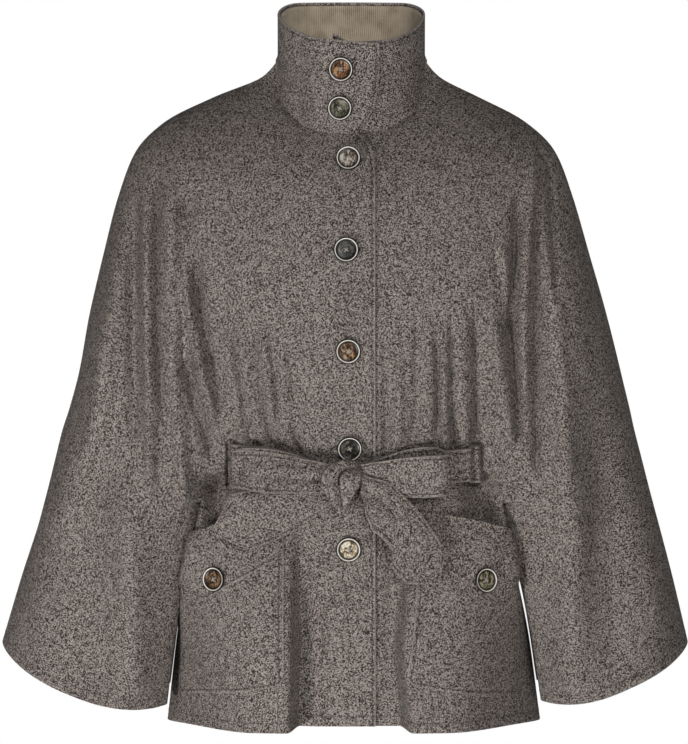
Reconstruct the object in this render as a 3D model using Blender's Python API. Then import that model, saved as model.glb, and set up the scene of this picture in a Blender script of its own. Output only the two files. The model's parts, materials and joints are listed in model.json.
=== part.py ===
"""Cape coat in wool cloth, filled out as it hangs on a wearer's shoulders.

The two fronts are cut in one with wide wings, so no armhole seam shows. A plain back, a stand collar
faced with corduroy, two patch pockets with buttoned flaps, nine buttons and a tied belt complete it. The
belt enters a slit in each front and passes inside the back.

Metres, +Z up. The coat faces -Y, and the wearer's left is at +X. The origin is the middle of the neck at
the height of the shoulder line. Tables are in millimetres and are read as metres.
"""

import math

import bpy
import numpy as np

MM = 0.001

# Cloth and fastenings
CLOTH = 2.2 * MM
FACING_CLOTH = 1.6 * MM
POCKET_CLOTH = 1.8 * MM
BELT_CLOTH = 3.2 * MM
SEAM_SETBACK = 0.4 * MM  # each edge of a seam stops this far short of the seam line
NECK_SETBACK = 1.0 * MM  # more at the neck, where the shoulders meet at an angle
BUTTON_GAP = 0.5 * MM
FLAP_BUTTON_GAP = 0.8 * MM  # more on a flap, which is curved
BELT_WIDTH = 47 * MM
BUTTON_RADIUS = 12.5 * MM
BUTTON_HEIGHT = 4.0 * MM

# Rows: 0 is the neck seam, UNDERARM_ROW the fork between body and wing, HEM_ROW the hem
UNDERARM_ROW = 18.7
HEM_ROW = 28
UPPER_ROWS = (0, 1, 2, 3, 4.5, 6, 7.5, 9, 10, 11, 12, 12.8, 13.6, 14.3, 15, 16.5, 18, 18.4, UNDERARM_ROW)
LOWER_ROWS = (19.7, 21, 23, 25, 26.5, HEM_ROW)
ROWS = (*UPPER_ROWS, *LOWER_ROWS)
SLIT_ROWS = (15, 18)
GATHER_ROWS = (9, 18)
FORK_START = 7.0  # the row where body and wing begin to part
FORK_FULL = 12.0  # from this row down each has a section of its own
FORK_GAP = 9 * MM  # body side to wing, at the underarm
FORK_SETBACK = 2.6 * MM  # front and back keep this far from each other's middle at the fork
WING_DROOP = {-1: 9 * MM, 1: 3 * MM}  # how much lower the middle of each wing's hem hangs
WING_DROOP_START = 18  # the row where that begins
SIDE_DROOP = 12 * MM  # how much lower the hem hangs at the body's sides
WING_INSIDE = (3 * MM, 0.5)  # halfway to its inner fold a wing stands this much further out
LAP = 27 * MM  # how far each front passes the centre line
LAP_LIFT = 2.8 * MM  # the upper front lies this far over the lower one
NECK_LAP_LIFT = 4.6 * MM  # the same at the neck, measured level
LAP_END = 32 * MM  # up to here the upper front stays lifted, then it comes down over the ramp
LAP_RAMP = 20 * MM

# Columns of a front's body, as shares of the way from its centre (0) to its side (1): few above the gathers,
# close together in them, and close below them where the skirt turns back beside each pocket
SLIT_SHARES = (0.655, 0.73)
SIDE_SHARES = (*SLIT_SHARES, 0.80, 0.86, 0.93, 1.0)
TOP_COLUMNS = (0, 0.129, 0.25, 0.38, 0.50, *SLIT_SHARES, 0.86, 1)
GATHER_COLUMNS = (0, 0.064, 0.129, *np.linspace(0.215, 0.61, 15), *SIDE_SHARES)
SKIRT_COLUMNS = (0, 0.07, 0.14, 0.175, 0.2, 0.215, 0.23, 0.245, 0.26, 0.275, 0.31, 0.37, 0.43, 0.49, 0.55,
                 0.6, *SIDE_SHARES)
WING_COLUMNS = np.array([0, 0.07, 0.14, 0.20, 0.26, 0.32, 0.38, 0.46, 0.56, 0.67, 0.78, 0.89, 1])
BACK_BODY_COLUMNS = np.array([0, 0.15, 0.3, 0.45, 0.6, 0.74, 0.86, 0.94, 1])
BACK_WING_COLUMNS = np.array([0, 0.06, 0.13, 0.25, 0.4, 0.55, 0.7, 0.85, 1])


def table(names, *rows):
    """A dictionary of columns, each an array in metres. Names that start with = are plain numbers."""
    columns = {}
    for name, values in zip(names.split(), np.array(rows, float).T):
        columns[name.lstrip("=")] = values if name.startswith("=") else values * MM
    return columns


# Sizes along the coat. z: heights at the centre front, overarm seam, centre back and side. x: half widths of
# the overarm seam and of the body's side. y: depths of the centre front, centre back, the hollow between body
# and wing, and the wing's front and back. fold_x, fold_y: the wing's inner fold. sway: how far side and
# overarm hang to the wearer's left. full: 2 is an ellipse, more is squarer. lean: how late the height turns
# from the centre's to the seam's. share: the body's part of the way from centre to overarm seam.
SECTIONS = table(
    "=row front_z arm_z back_z side_z arm_x side_x front_y back_y side_y wing_y wing_b fold_x fold_y"
    " side_sway arm_sway =full =lean =share",
    (0.0, -73, 0, 8, -25, 73.5, 50, 72, 62, 60, 60, 60, 60, 60, 2.4, 3.3, 2.0, 0.3, 0.62),
    (1.5, -84, -16, -9, -45, 89, 62, 80, 74, 70, 70, 70, 75, 65, 1.5, 3, 2.05, 1.1, 0.60),
    (3.0, -97, -37, -28, -65, 134.6, 80, 89, 85, 80, 80, 80, 95, 70, 0, -1.8, 2.15, 1.6, 0.57),
    (4.5, -112, -61, -51, -90, 181.4, 100, 99, 95, 90, 90, 90, 115, 80, 0, -3, 2.25, 1.9, 0.53),
    (6.0, -131, -90, -80, -118, 211, 118, 109, 103, 95, 97, 95, 130, 85, 0, -2.7, 2.35, 2.0, 0.50),
    (8.0, -168, -135, -128, -160, 229, 135, 120, 111, 104, 102, 98, 145, 95, 0, -2.6, 2.4, 1.9, 0.48),
    (10.0, -220, -193, -190, -215, 245.2, 145, 127, 117, 104, 103, 100, 156, 95, 0, -1.7, 2.5, 1.7, 0.47),
    (12.0, -278, -252, -255, -275, 260.9, 147, 127, 121, 88, 103, 101, 158, 90, 0, 0, 2.5, 1.5, 0.465),
    (14.0, -342, -317, -335, -342, 275.3, 147, 115, 125, 36, 102, 102, 148, 72, 2, 2.2, 2.5, 1.2, 0.46),
    (15.0, -374, -349, -374, -374, 283.8, 146, 110, 126, 0, 102, 102, 142, 64, 3, 1.7, 2.45, 1.0, 0.455),
    (16.5, -401, -377, -401, -404, 291.5, 147, 108, 127, 0, 102, 103, 144, 70, 3.5, 0.4, 2.4, 1.0, 0.45),
    (18.0, -428, -404, -428, -433, 298.4, 151, 108, 128, 0, 103, 105, 148, 74, 4, 0.6, 2.35, 1.0, 0.45),
    (21.0, -499, -459, -499, -492, 312.7, 164, 109, 133, 0, 105, 108, 165, 76, 3, 0.8, 2.3, 1.0, 0.45),
    (24.5, -579, -524, -582, -565, 332, 179.5, 110, 140, 0, 107, 112, 180, 72, 5, -1, 2.3, 1.0, 0.45),
    (28.0, -659, -590, -668, -640, 350, 190, 110, 148, 0, 108, 116, 191, 66, 6, -3, 2.3, 1.0, 0.45),
)

# Down to the slits the hollow between body and wing is shallow: there, at a filling of 1, these sizes hold.
FILLING = table("=row =fill", (10, 0), (13.5, 1), (18.2, 1), (UNDERARM_ROW, 0))
FILLED = {"side_y": 84 * MM, "fold_x": 162 * MM, "fold_y": 94 * MM}

# Folds as they fall. side is -1 for the wearer's right. x and z give the line of the crest, from its top to
# its bottom, height is how far it stands out (below nought: a trough), and width is from crest to foot.
FOLDS = table(
    "=side x_top z_top x_end z_end width height",
    (-1, 204, -95, 214, -400, 13, 6),
    (-1, 190, -110, 186, -360, 11, -6),
    (-1, 172, -110, 160, -330, 20, 6),
    (-1, 232, -220, 292, -480, 30, 6),
    (-1, 262, -300, 250, -640, 34, -5),
    (-1, 128, -160, 148, -436, 20, -6),
    (-1, 120, -262, 104, -376, 6, 5),
    (-1, 107, -268, 92, -376, 6, 5),
    (-1, 94, -262, 77, -376, 6, 5),
    (-1, 81, -272, 63, -376, 6, 4),
    (1, 190, -95, 176, -390, 13, 7),
    (1, 206, -110, 186, -330, 10, -6),
    (1, 222, -150, 214, -480, 26, 5),
    (1, 250, -300, 262, -640, 32, -5),
    (1, 128, -160, 148, -436, 20, -6),
    (1, 77, -270, 62, -376, 6, 4),
    (1, 91, -262, 77, -376, 6, 5),
    (1, 106, -268, 92, -376, 6, 5),
    (1, 121, -262, 107, -376, 6, 5),
    (1, 136, -276, 119, -376, 6, 4),
)

# The skirt stands out over each pocket and turns back sharply towards the centre. The table has the foot of
# the turn.
FLUTE = {"top": -430 * MM, "full": -600 * MM, "height": 42 * MM, "wall": 12.5 * MM,
         "fade": (95 * MM, 185 * MM)}
FLUTE_FOOT = table("z right left", (-664, 50, 50.5), (-620, 49.5, 46.5), (-590, 48.5, 43.5), (-500, 48.5, 51),
                   (-430, 50, 53))

# The upper front's edge past the centre, and the collar's, from their meeting at the notch
FRONT_EDGE = table("z x", (-120, 26.5), (-99, 25.5), (-88, 21.6), (-75, 9))
COLLAR_EDGE = table("=share x", (0, 9), (0.13, 17), (0.27, 23), (0.54, 26), (1, 27))
COLLAR_UNDER_X = 16 * MM
COLLAR_UNDER_TURN = 12  # degrees over which that end rises
COLLAR_TOP = table("=turn z", (0, 16), (30, 19), (55, 29), (90, 49), (135, 62), (180, 63.5), (225, 62),
                   (270, 49), (305, 32), (330, 22), (360, 17), (390, 14))
COLLAR_UNDER_RISE = 5 * MM  # the corner of the collar's under end stands this much higher
COLLAR_LEAN = 11 * MM  # the front of the collar's top stands this much forward of the neck
COLLAR_SEAT = 1.8 * MM  # the collar's foot keeps this far from the middle of the neck's edge
COLLAR_LAP_LIFT = 6.0 * MM  # collar and facing lie over collar and facing
COLLAR_LAP_TURNS = (316, 342)  # degrees where the collar's right end climbs over its left one
COLLAR_TURNS = (-6, 0, 6, 12, *range(20, 91, 10), 102, *range(120, 241, 20), 258, *range(270, 311, 10),
                *range(317, 353, 7))
COLLAR_END_COLUMNS = 4  # between the last of these turns and the cut end
COLLAR_ROWS = 5
FACING_ROWS = 3
FACING_GAP = 0.8 * MM

# Pockets and flaps: x and z of their corners, inner then outer, at the top and at the foot
POCKETS = {
    "right": (((-63, -462), (-160, -486)), ((-63, -612), (-167, -636))),
    "left": (((73, -462), (163, -486)), ((58, -611), (168.5, -636))),
}
FLAPS = {
    "right": (((-64, -444), (-153, -470)), ((-64, -490), (-161.5, -521))),
    "left": (((74, -446), (162, -471)), ((72, -489), (163, -521))),
}
FLAP_TIPS = {"right": (0.60, -533), "left": (0.64, -533)}  # share of the flap's width, height
POCKET_CORNER = 14 * MM
POCKET_BULGE = 2.5 * MM
POCKET_GAP = 1.5 * MM
FLAP_GAP = 0.8 * MM
POCKET_COLUMNS = (0, 0.06, 0.14, 0.26, 0.39, 0.52, 0.65, 0.77, 0.89, 1)
POCKET_ROWS = 8
FLAP_GRID = (10, 4)

# Buttons: x and z of their centres. The first two are on the collar, and the last two on the flaps.
COLLAR_BUTTONS = ((-6.5, -10.5), (-7.4, -48.5))
FRONT_BUTTONS = ((0, -100), (-2, -187.5), (0, -286), (1.5, -383), (0.5, -483))
POCKET_BUTTONS = {"right": (-126.5, -512), "left": (130, -513)}
BUTTON_SIDES = 16
BUTTON_PROFILE = ((0.80, 0.0), (1.0, 0.35), (0.93, 1.0), (0.78, 0.93), (0.64, 0.64))  # of radius and height

# The belt over the fronts: x, middle and width. Across the slit: place in shares of half the slit, height
# over the front. Inside: x and y of half its way round.
BELT_BAND = table("x z width", (14, -419, 34), (60, -408, 44), (95, -402.5, 47), (150, -401, 47))
BELT_HEIGHT = 3.5 * MM
BELT_CROSSING = ((-2.2, 3.9), (-1.5, 3.8), (-0.85, 3.1), (-0.4, 1.5), (0, 0), (0.4, -1.5), (0.85, -3.2),
                 (1.5, -3.8))
BELT_INSIDE = ((138, -31), (140, 0), (129, 44), (100, 71), (52, 86))
BELT_BACK = (0, 90)
WAIST_SWAY = 3 * MM
BELT_OUTER_X = (14.6, 22, 30, 38, 47, 56, 65, 74, 82, 90, 98, 106)

# The knot: rings from its top to its foot. left and right are its sides, and core is where its deep middle
# begins. Left of that it lies over the loop. back, over and face are heights over the front: of the middle's
# back, of the back of what lies over the loop, and of the face.
KNOT = table("z left core right back over face",
             (-391, -9, -7.7, 5.5, 10, 14, 19), (-393.5, -14, -11.7, 9.5, 8, 19, 23),
             (-398.5, -19.5, -13.9, 12, 6.6, 19.8, 24.5), (-406, -23.3, -14.1, 12.6, 1.8, 19.8, 26),
             (-414, -24, -13.2, 12.5, 1.8, 19.8, 25.5), (-422, -23, -11.5, 10, 1.8, 19.8, 24),
             (-430, -19.5, -9.7, 8.3, 1.8, 19.4, 22.5), (-438, -13.5, -7.9, 6.5, 1.8, 11, 17),
             (-445, -10.5, -6, 2.5, 5, 8, 12))
KNOT_FACE_POINTS = 9  # round each ring, from its right side over its face to its left side
KNOT_EDGE = 0.35  # how deep its two sides lie, as a share of the way from back to face

# Strips of the bow: x and z of the middle line, width and height over the fronts, from the knot to the end
LOOP_RIGHT = table("x z width height",
                   (-14.8, -411, 30, 17.2), (-26, -410.2, 33, 17.8), (-40, -409, 37, 21.5),
                   (-72, -405.5, 45, 26.5), (-97, -403.5, 48, 23), (-107, -403.5, 48, 19),
                   (-98, -404, 48, 15.4), (-72, -406, 45, 15.2),
                   (-40, -410, 37, 13.4), (-14.8, -414, 30, 12.6))
LOOP_LEFT = table("x z width height", (12.9, -411, 28, 12), (38, -409, 40, 12.8), (65, -406.5, 47, 14.8),
                  (84, -405, 48, 14.4), (91.5, -405, 48, 11.6), (84, -405, 48, 8.6), (65, -406.5, 47, 8.2),
                  (38, -409, 40, 8.2), (13.4, -412, 28, 7.8))
TAIL_RIGHT = table("x z width height", (-13.4, -427, 25, 8.2), (-40, -434, 38, 9), (-70, -446, 47, 11.2),
                   (-100, -457, 49, 12), (-116, -462, 49, 12.2), (-131, -466.5, 49, 12.2))
TAIL_LEFT = table("x z width height", (13.4, -418, 24, 16.8), (32, -436, 36, 17.4), (48, -457, 45, 16.8),
                  (62, -478, 48, 13.5), (74, -496, 48, 12.2), (87, -512, 48, 11.8))
TIPS = {"right": 30 * MM, "left": 19 * MM}  # how far each tail's point passes its corners
STRIP_TURN = 30 * MM  # over this way from the knot a tail's lines turn square to it


def smooth(value):
    value = np.clip(value, 0.0, 1.0)
    return value * value * (3 - 2 * value)


def read(columns, name, at, key="row"):
    """The named column at a place between its lines, on a curve that never overshoots them."""
    x, y = columns[key], columns[name]
    rise = np.diff(y) / np.diff(x)
    both = rise[:-1] + rise[1:]
    same_way = rise[:-1] * rise[1:] > 0
    middle = np.where(same_way, 2 * rise[:-1] * rise[1:] / np.where(same_way, both, 1), 0)
    slope = np.concatenate([[rise[0]], middle, [rise[-1]]])
    at = np.clip(at, x[0], x[-1])
    i = np.clip(np.searchsorted(x, at, "right") - 1, 0, len(x) - 2)
    width = x[i + 1] - x[i]
    t = (at - x[i]) / width
    start = (1 + 2 * t) * (1 - t) ** 2 * y[i] + t * (1 - t) ** 2 * width * slope[i]
    return start + t * t * (3 - 2 * t) * y[i + 1] + t * t * (t - 1) * width * slope[i + 1]


def along(path, shares, setback=0.0, measure=None):
    """Points at shares of a path's length, which stops short of its end by the setback. The length may be
    that of another path with as many points, the measure."""
    steps = np.linalg.norm(np.diff(path if measure is None else measure, axis=0), axis=1)
    length = np.concatenate([[0], np.cumsum(steps)])
    at = np.asarray(shares) * length[-1]
    at = np.minimum(at, length[-1] - setback)
    return np.stack([np.interp(at, length, path[:, axis]) for axis in range(3)], axis=1)


def curve(points, before, after, steps=14):
    """A smooth path through the points. before and after are the neighbours past its two ends."""
    p = np.array([before, *points, after], float)
    t = np.linspace(0, 1, steps, endpoint=False)[:, None]
    spans = []
    for a, b, c, d in zip(p, p[1:], p[2:], p[3:]):
        square, cube = 2 * a - 5 * b + 4 * c - d, 3 * b - a - 3 * c + d
        spans.append(b + 0.5 * ((c - a) * t + square * t**2 + cube * t**3))
    return np.concatenate([*spans, p[-2:-1]])


ANGLES = np.linspace(0, math.pi / 2, 90)
LEAN_START = 0.12


def turned(cosine, lean):
    """How far the height has gone from the overarm seam's (0) to the centre line's (1)."""
    start = LEAN_START**lean
    return ((cosine + LEAN_START) ** lean - start) / ((1 + LEAN_START) ** lean - start)


def arc(half_width, depth, side_depth, facing, z_middle, z_end, full, lean):
    """A quarter of a section, from the centre line to the side. facing is -1 for the front."""
    x = half_width * np.sin(ANGLES) ** (2 / full)
    y = facing * (side_depth + (depth - side_depth) * np.cos(ANGLES) ** (2 / full))
    z = z_end + (z_middle - z_end) * turned(np.cos(ANGLES), lean)
    return np.stack([x, y, z], axis=1)


def sizes(row, filled=True):
    """The named sizes at one row. The body's side is level with its centre below the underarm."""
    found = {name: float(read(SECTIONS, name, row)) for name in SECTIONS if name != "row"}
    share = float(read(FILLING, "fill", row)) if filled else 0.0
    for name, size in FILLED.items():
        found[name] += (size - found[name]) * share
    droop = SIDE_DROOP * float(smooth((row - WING_DROOP_START) / (HEM_ROW - WING_DROOP_START)))
    found["side_z_body"] = found["front_z"] - droop if row > UNDERARM_ROW else found["side_z"]
    return found


def wing_path(row, facing, filled=True):
    """From the underarm seam round the wing's inner fold and crown to the overarm seam."""
    s = sizes(row, filled)
    start_x = s["side_x"] + FORK_GAP

    def ring(face):
        depth = s["wing_y"] if face < 0 else s["wing_b"]
        span = s["arm_x"] - s["fold_x"]
        fold = (s["fold_x"] + (0 if face < 0 else 4 * MM), face * s["fold_y"])
        crown = (s["fold_x"] + 0.36 * span, face * depth)
        outer = (s["fold_x"] + 0.80 * span, face * 0.72 * depth)
        return [fold, crown, outer]

    further, half_way = WING_INSIDE
    inside = (start_x + further, facing * (s["side_y"] + (s["fold_y"] - s["side_y"]) * half_way))
    flat = [(start_x, facing * s["side_y"]), inside, *ring(facing), (s["arm_x"], 0.0)]
    before, after = (inside[0], -inside[1]), ring(-facing)[2]
    path = curve(flat, before, after)
    share = np.clip((path[:, 0] - start_x) / (s["arm_x"] - start_x), 0, 1)
    return np.column_stack([path, s["side_z"] + (s["arm_z"] - s["side_z"]) * share**1.5])


def body_path(row, facing, filled=True):
    """From the centre line round to the side seam."""
    s = sizes(row, filled)
    depth = s["front_y"] if facing < 0 else s["back_y"]
    middle_z = s["front_z"] if facing < 0 else s["back_z"]
    return arc(s["side_x"], depth, s["side_y"], facing, middle_z, s["side_z_body"], s["full"], 1.0)


def whole_path(row, facing):
    """From the centre line over body and wing to the overarm seam."""
    s = sizes(row)
    front = facing < 0
    depth = s["front_y"] if front else s["back_y"]
    middle_z = s["front_z"] if front else s["back_z"]
    return arc(s["arm_x"], depth, 0.0, facing, middle_z, s["arm_z"], s["full"], s["lean"])


def section(row, facing, body_at, wing_at):
    """Points of the body and of the wing at one row, on the side where x is positive. Their shares are
    measured as if the hollow between them were not filled, so that no line jumps where the filling ends."""
    body_at = np.asarray(body_at, float)
    wing_at = np.asarray(wing_at, float)
    fork = smooth((row - FORK_START) / (FORK_FULL - FORK_START))
    mirrored = np.where(body_at < 0, -1.0, 1.0)
    body = wing = 0.0
    if fork > 0:
        s = sizes(row)
        setback = SEAM_SETBACK if row > UNDERARM_ROW else 0.0
        measure = body_path(row, facing, filled=False)
        split_body = along(body_path(row, facing), np.abs(body_at), setback, measure)
        outward, measure = wing_path(row, facing), wing_path(row, facing, filled=False)
        split_wing = along(outward[::-1], 1 - wing_at, setback, measure[::-1])
        seam = along(outward, wing_at, SEAM_SETBACK, measure)
        split_wing = np.where((wing_at >= 1)[:, None], seam, split_wing)
        if row <= UNDERARM_ROW:
            hollow = (s["side_x"] + FORK_GAP / 2, facing * max(s["side_y"], FORK_SETBACK), s["side_z"])
            split_body[body_at >= 1] = hollow
            split_wing[wing_at <= 0] = hollow
        body = fork * split_body
        wing = fork * split_wing
    if fork < 1:
        share = read(SECTIONS, "share", row)
        path = whole_path(row, facing)
        body = body + (1 - fork) * along(path, share * np.abs(body_at))
        setback = SEAM_SETBACK + NECK_SETBACK * max(0.0, 1 - row / 2)
        wing = wing + (1 - fork) * along(path, share + (1 - share) * wing_at, setback)
    body[:, 0] *= mirrored
    return body, wing


def sway(row, points):
    """How far the whole coat hangs to the wearer's left at these points."""
    s = sizes(row)
    share = np.abs(points[:, 0])
    return np.interp(share, [0, s["side_x"], s["arm_x"]], [0, s["side_sway"], s["arm_sway"]])


def wing_droop(side, row, wing_at):
    """How much lower than its two seams a wing hangs."""
    grown = smooth((row - WING_DROOP_START) / (HEM_ROW - WING_DROOP_START))
    return WING_DROOP[side] * grown * np.sin(math.pi * np.asarray(wing_at))


def crease(distance, width):
    return np.exp(-((distance / width) ** 2) * 1.6)


def fold_height(side, x, z):
    """How far the folds of one side lift the cloth at x, z."""
    total = np.zeros_like(x)
    for s, x_top, z_top, x_end, z_end, width, height in zip(*FOLDS.values()):
        if s != side:
            continue
        t = (z - z_top) / (z_end - z_top)
        fade = smooth(t / 0.3) * smooth((1 - t) / 0.16)
        total += height * fade * crease(x - (x_top + (x_end - x_top) * t), width)
    return total


def flute_depth(side, x, z):
    """How far the skirt stands forward over the pockets."""
    grown = smooth((FLUTE["top"] - z) / (FLUTE["top"] - FLUTE["full"]))
    start = read(FLUTE_FOOT, "right" if side < 0 else "left", z, "z")
    fade_start, fade_end = FLUTE["fade"]
    fall = 1 - smooth((x - fade_start) / (fade_end - fade_start))
    return FLUTE["height"] * grown * smooth((x - start) / FLUTE["wall"]) * fall


def outward(points, facing):
    """The level direction that points out of a section, at each of its points."""
    step = np.gradient(points[:, :2], axis=0)
    normal = np.stack([step[:, 1], -step[:, 0]], axis=1) * -facing
    normal /= np.linalg.norm(normal, axis=1, keepdims=True) + 1e-12
    return np.column_stack([normal, np.zeros(len(points))])


def lap_lift(row):
    return np.interp(row, [0, 6], [NECK_LAP_LIFT, LAP_LIFT])


def front_row(side, row, body_at, wing_at, fluted=True):
    """One row of a front at its real place. side is -1 for the wearer's right, which lies on top."""
    body, wing = section(row, -1, body_at, wing_at)
    for points in (body, wing):
        rise = fold_height(side, points[:, 0], points[:, 2])
        if points is body and side < 0:
            rise = rise + lap_lift(row) * (1 - smooth((points[:, 0] - LAP_END) / LAP_RAMP))
        points += rise[:, None] * outward(points, -1)
    if fluted:
        body[:, 1] -= flute_depth(side, body[:, 0], body[:, 2])
    wing[:, 2] -= wing_droop(side, row, wing_at)
    for points in (body, wing):
        points[:, 0] = side * points[:, 0] + sway(row, points)
    return body, wing


def back_row(row, body_at, wing_at):
    """One row of the back, from one overarm seam to the other: the wing, the body and the other wing."""
    body, wing = section(row, 1, body_at, wing_at)
    lines = [wing[::-1] * (-1, 1, 1), np.concatenate([body[:0:-1] * (-1, 1, 1), body]), wing.copy()]
    lines[0][:, 2] -= wing_droop(-1, row, wing_at[::-1])
    lines[2][:, 2] -= wing_droop(1, row, wing_at)
    for points in lines:
        points[:, 0] += sway(row, points)
    return lines


class Cloth:
    """The points and faces of one sheet of cloth, before it gets its thickness."""

    def __init__(self):
        self.points = []
        self.faces = []

    def row(self, points):
        start = len(self.points)
        self.points.extend(map(tuple, points))
        return list(range(start, len(self.points)))

    def join(self, upper, lower, upper_at=None, lower_at=None, skip=None):
        """Faces between two lines. Where their columns differ it needs each line's places, and fills with
        triangles. It leaves out the face that begins at the place skip."""
        upper_at = list(range(len(upper)) if upper_at is None else upper_at) + [math.inf]
        lower_at = list(upper_at[:-1] if lower_at is None else lower_at) + [math.inf]
        i = j = 0
        while i + j < len(upper) + len(lower) - 2:
            step_upper, step_lower = upper_at[i + 1], lower_at[j + 1]
            both = abs(step_upper - step_lower) < 1e-6
            if both and upper_at[i] != skip:
                self.faces.append((upper[i], lower[j], lower[j + 1], upper[i + 1]))
            elif not both and step_upper < step_lower:
                self.faces.append((upper[i], lower[j], upper[i + 1]))
            elif not both:
                self.faces.append((upper[i], lower[j], lower[j + 1]))
            i += both or step_upper < step_lower
            j += both or step_lower < step_upper


def material(name, colour, roughness, metallic=0.0):
    made = bpy.data.materials.new(name)
    made.use_nodes = True
    shader = made.node_tree.nodes["Principled BSDF"]
    shader.inputs["Base Color"].default_value = (*colour, 1.0)
    shader.inputs["Roughness"].default_value = roughness
    shader.inputs["Metallic"].default_value = metallic
    return made


def add_object(name, points, faces, finish):
    mesh = bpy.data.meshes.new(name)
    mesh.from_pydata([tuple(p) for p in points], [], faces)
    mesh.materials.append(finish)
    mesh.shade_smooth()
    made = bpy.data.objects.new(name, mesh)
    bpy.context.scene.collection.objects.link(made)
    return made


def sew(name, cloth, thickness, finish):
    """Makes the sheet an object and gives it its thickness, half on each side."""
    made = add_object(name, cloth.points, cloth.faces, finish)
    wall = made.modifiers.new("Thickness", "SOLIDIFY")
    wall.thickness = thickness
    wall.offset = 0.0
    wall.use_quality_normals = True
    return made


def front_columns(row, side):
    """Shares along the section for a front's body with its lap, and labels that tell which lines meet."""
    edge = float(read(FRONT_EDGE, "x", read(SECTIONS, "front_z", row), "z")) if side < 0 else LAP
    edge /= path_length(row)
    if row < GATHER_ROWS[0]:
        columns = TOP_COLUMNS
    else:
        columns = GATHER_COLUMNS if row <= GATHER_ROWS[1] else SKIRT_COLUMNS
    return [-edge, -0.5 * edge, *columns], [-2, -1, *columns]


def path_length(row):
    """Length of the section that a body column's share of 1 stands for, near the centre line."""
    fork = smooth((row - FORK_START) / (FORK_FULL - FORK_START))
    total = 0.0
    if fork > 0:
        steps = np.diff(body_path(row, -1, filled=False), axis=0)
        total += fork * np.linalg.norm(steps, axis=1).sum()
    if fork < 1:
        steps = np.diff(whole_path(row, -1), axis=0)
        total += (1 - fork) * np.linalg.norm(steps, axis=1).sum() * read(SECTIONS, "share", row)
    return total


def front(name, side, finish):
    """A front and its wing. The wearer's right laps over the left."""
    cloth = Cloth()
    wing_labels = [1 + share for share in WING_COLUMNS]
    above = None
    for row in UPPER_ROWS:
        columns, labels = front_columns(row, side)
        body, wing = front_row(side, row, columns, WING_COLUMNS)
        line, at = cloth.row([*body, *wing[1:]]), [*labels, *wing_labels[1:]]
        in_slit = SLIT_ROWS[0] < row <= SLIT_ROWS[1]
        if above:
            cloth.join(above, line, at_above, at, skip=SLIT_SHARES[0] if in_slit else None)
        above, at_above = line, at
    fork = len(labels) - 1
    body_above, body_at, wing_above = above[: fork + 1], labels, above[fork:]
    for row in LOWER_ROWS:
        columns, labels = front_columns(row, side)
        body, wing = front_row(side, row, columns, WING_COLUMNS)
        body_line, wing_line = cloth.row(body), cloth.row(wing)
        cloth.join(body_above, body_line, body_at, labels)
        cloth.join(wing_above, wing_line)
        body_above, body_at, wing_above = body_line, labels, wing_line
    return sew(name, cloth, CLOTH, finish)


def back(name, finish):
    """The one-piece back with both its wings, from overarm seam to overarm seam."""
    cloth = Cloth()
    above = None
    for row in UPPER_ROWS:
        right_wing, body, left_wing = back_row(row, BACK_BODY_COLUMNS, BACK_WING_COLUMNS)
        line = cloth.row([*right_wing, *body[1:-1], *left_wing])
        if above:
            cloth.join(above, line)
        above = line
    wing = len(BACK_WING_COLUMNS)
    pieces_above = [above[:wing], above[wing - 1 : 1 - wing], above[-wing:]]
    for row in LOWER_ROWS:
        pieces = [cloth.row(points) for points in back_row(row, BACK_BODY_COLUMNS, BACK_WING_COLUMNS)]
        for old, new in zip(pieces_above, pieces):
            cloth.join(old, new)
        pieces_above = pieces
    return sew(name, cloth, CLOTH, finish)


PROBE = np.array(sorted({*np.linspace(-0.14, 1, 115), *TOP_COLUMNS, *GATHER_COLUMNS, *SKIRT_COLUMNS}))


def probe_front(side, fluted):
    """A front's body as it is cut into faces: the points of each row at the shares of PROBE."""
    lines = []
    for row in ROWS:
        columns, _ = front_columns(row, side)
        body, _ = front_row(side, row, columns, WING_COLUMNS, fluted)
        lines.append(np.stack([np.interp(PROBE, columns, body[:, axis]) for axis in range(3)], axis=1))
    return np.array(lines)


FRONTS = {side: probe_front(side, True) for side in (-1, 1)}
PLAIN_FRONTS = {side: probe_front(side, False) for side in (-1, 1)}


def point_at(side, share, z, fronts):
    """The point of a front's middle layer at a share of its way from centre to side, at this height."""
    column = min(max(int(np.searchsorted(PROBE, share, "right")) - 1, 0), len(PROBE) - 2)
    part = (share - PROBE[column]) / (PROBE[column + 1] - PROBE[column])
    line = fronts[side][:, column] * (1 - part) + fronts[side][:, column + 1] * part
    return np.array([np.interp(-z, -line[:, 2], line[:, axis]) for axis in range(3)])


def share_at(side, x, z):
    """The share of the way at which a front's level section at z has this x."""
    heights = FRONTS[side][:, np.searchsorted(PROBE, 0.0), 2]
    place = np.interp(-z, -heights, range(len(ROWS)))
    row = min(int(place), len(ROWS) - 2)
    section_x = FRONTS[side][row, :, 0] * (row + 1 - place) + FRONTS[side][row + 1, :, 0] * (place - row)
    return float(np.interp(side * x, side * section_x, PROBE))


def front_at(side, share, z, fronts):
    """As point_at, but under the lap's edge the left front comes up to the right one gently."""
    point = point_at(side, share, z, fronts)
    if side > 0:
        point[1] -= LAP_LIFT * (1 - smooth((point[0] - LAP) / LAP_RAMP))
    return point


NORMAL_STEP = 6 * MM
SHARE_STEP = 0.03


def lift(side, share, z, height, fronts=FRONTS):
    """The point at this height over a front, and the direction out of it."""
    after, before = min(share + SHARE_STEP, 1.0), share - SHARE_STEP
    across = side * (front_at(side, after, z, fronts) - front_at(side, before, z, fronts))
    up = front_at(side, share, z + NORMAL_STEP, fronts) - front_at(side, share, z - NORMAL_STEP, fronts)
    normal = np.cross(across, up)
    normal /= np.linalg.norm(normal)
    return front_at(side, share, z, fronts) + normal * height, normal


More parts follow.
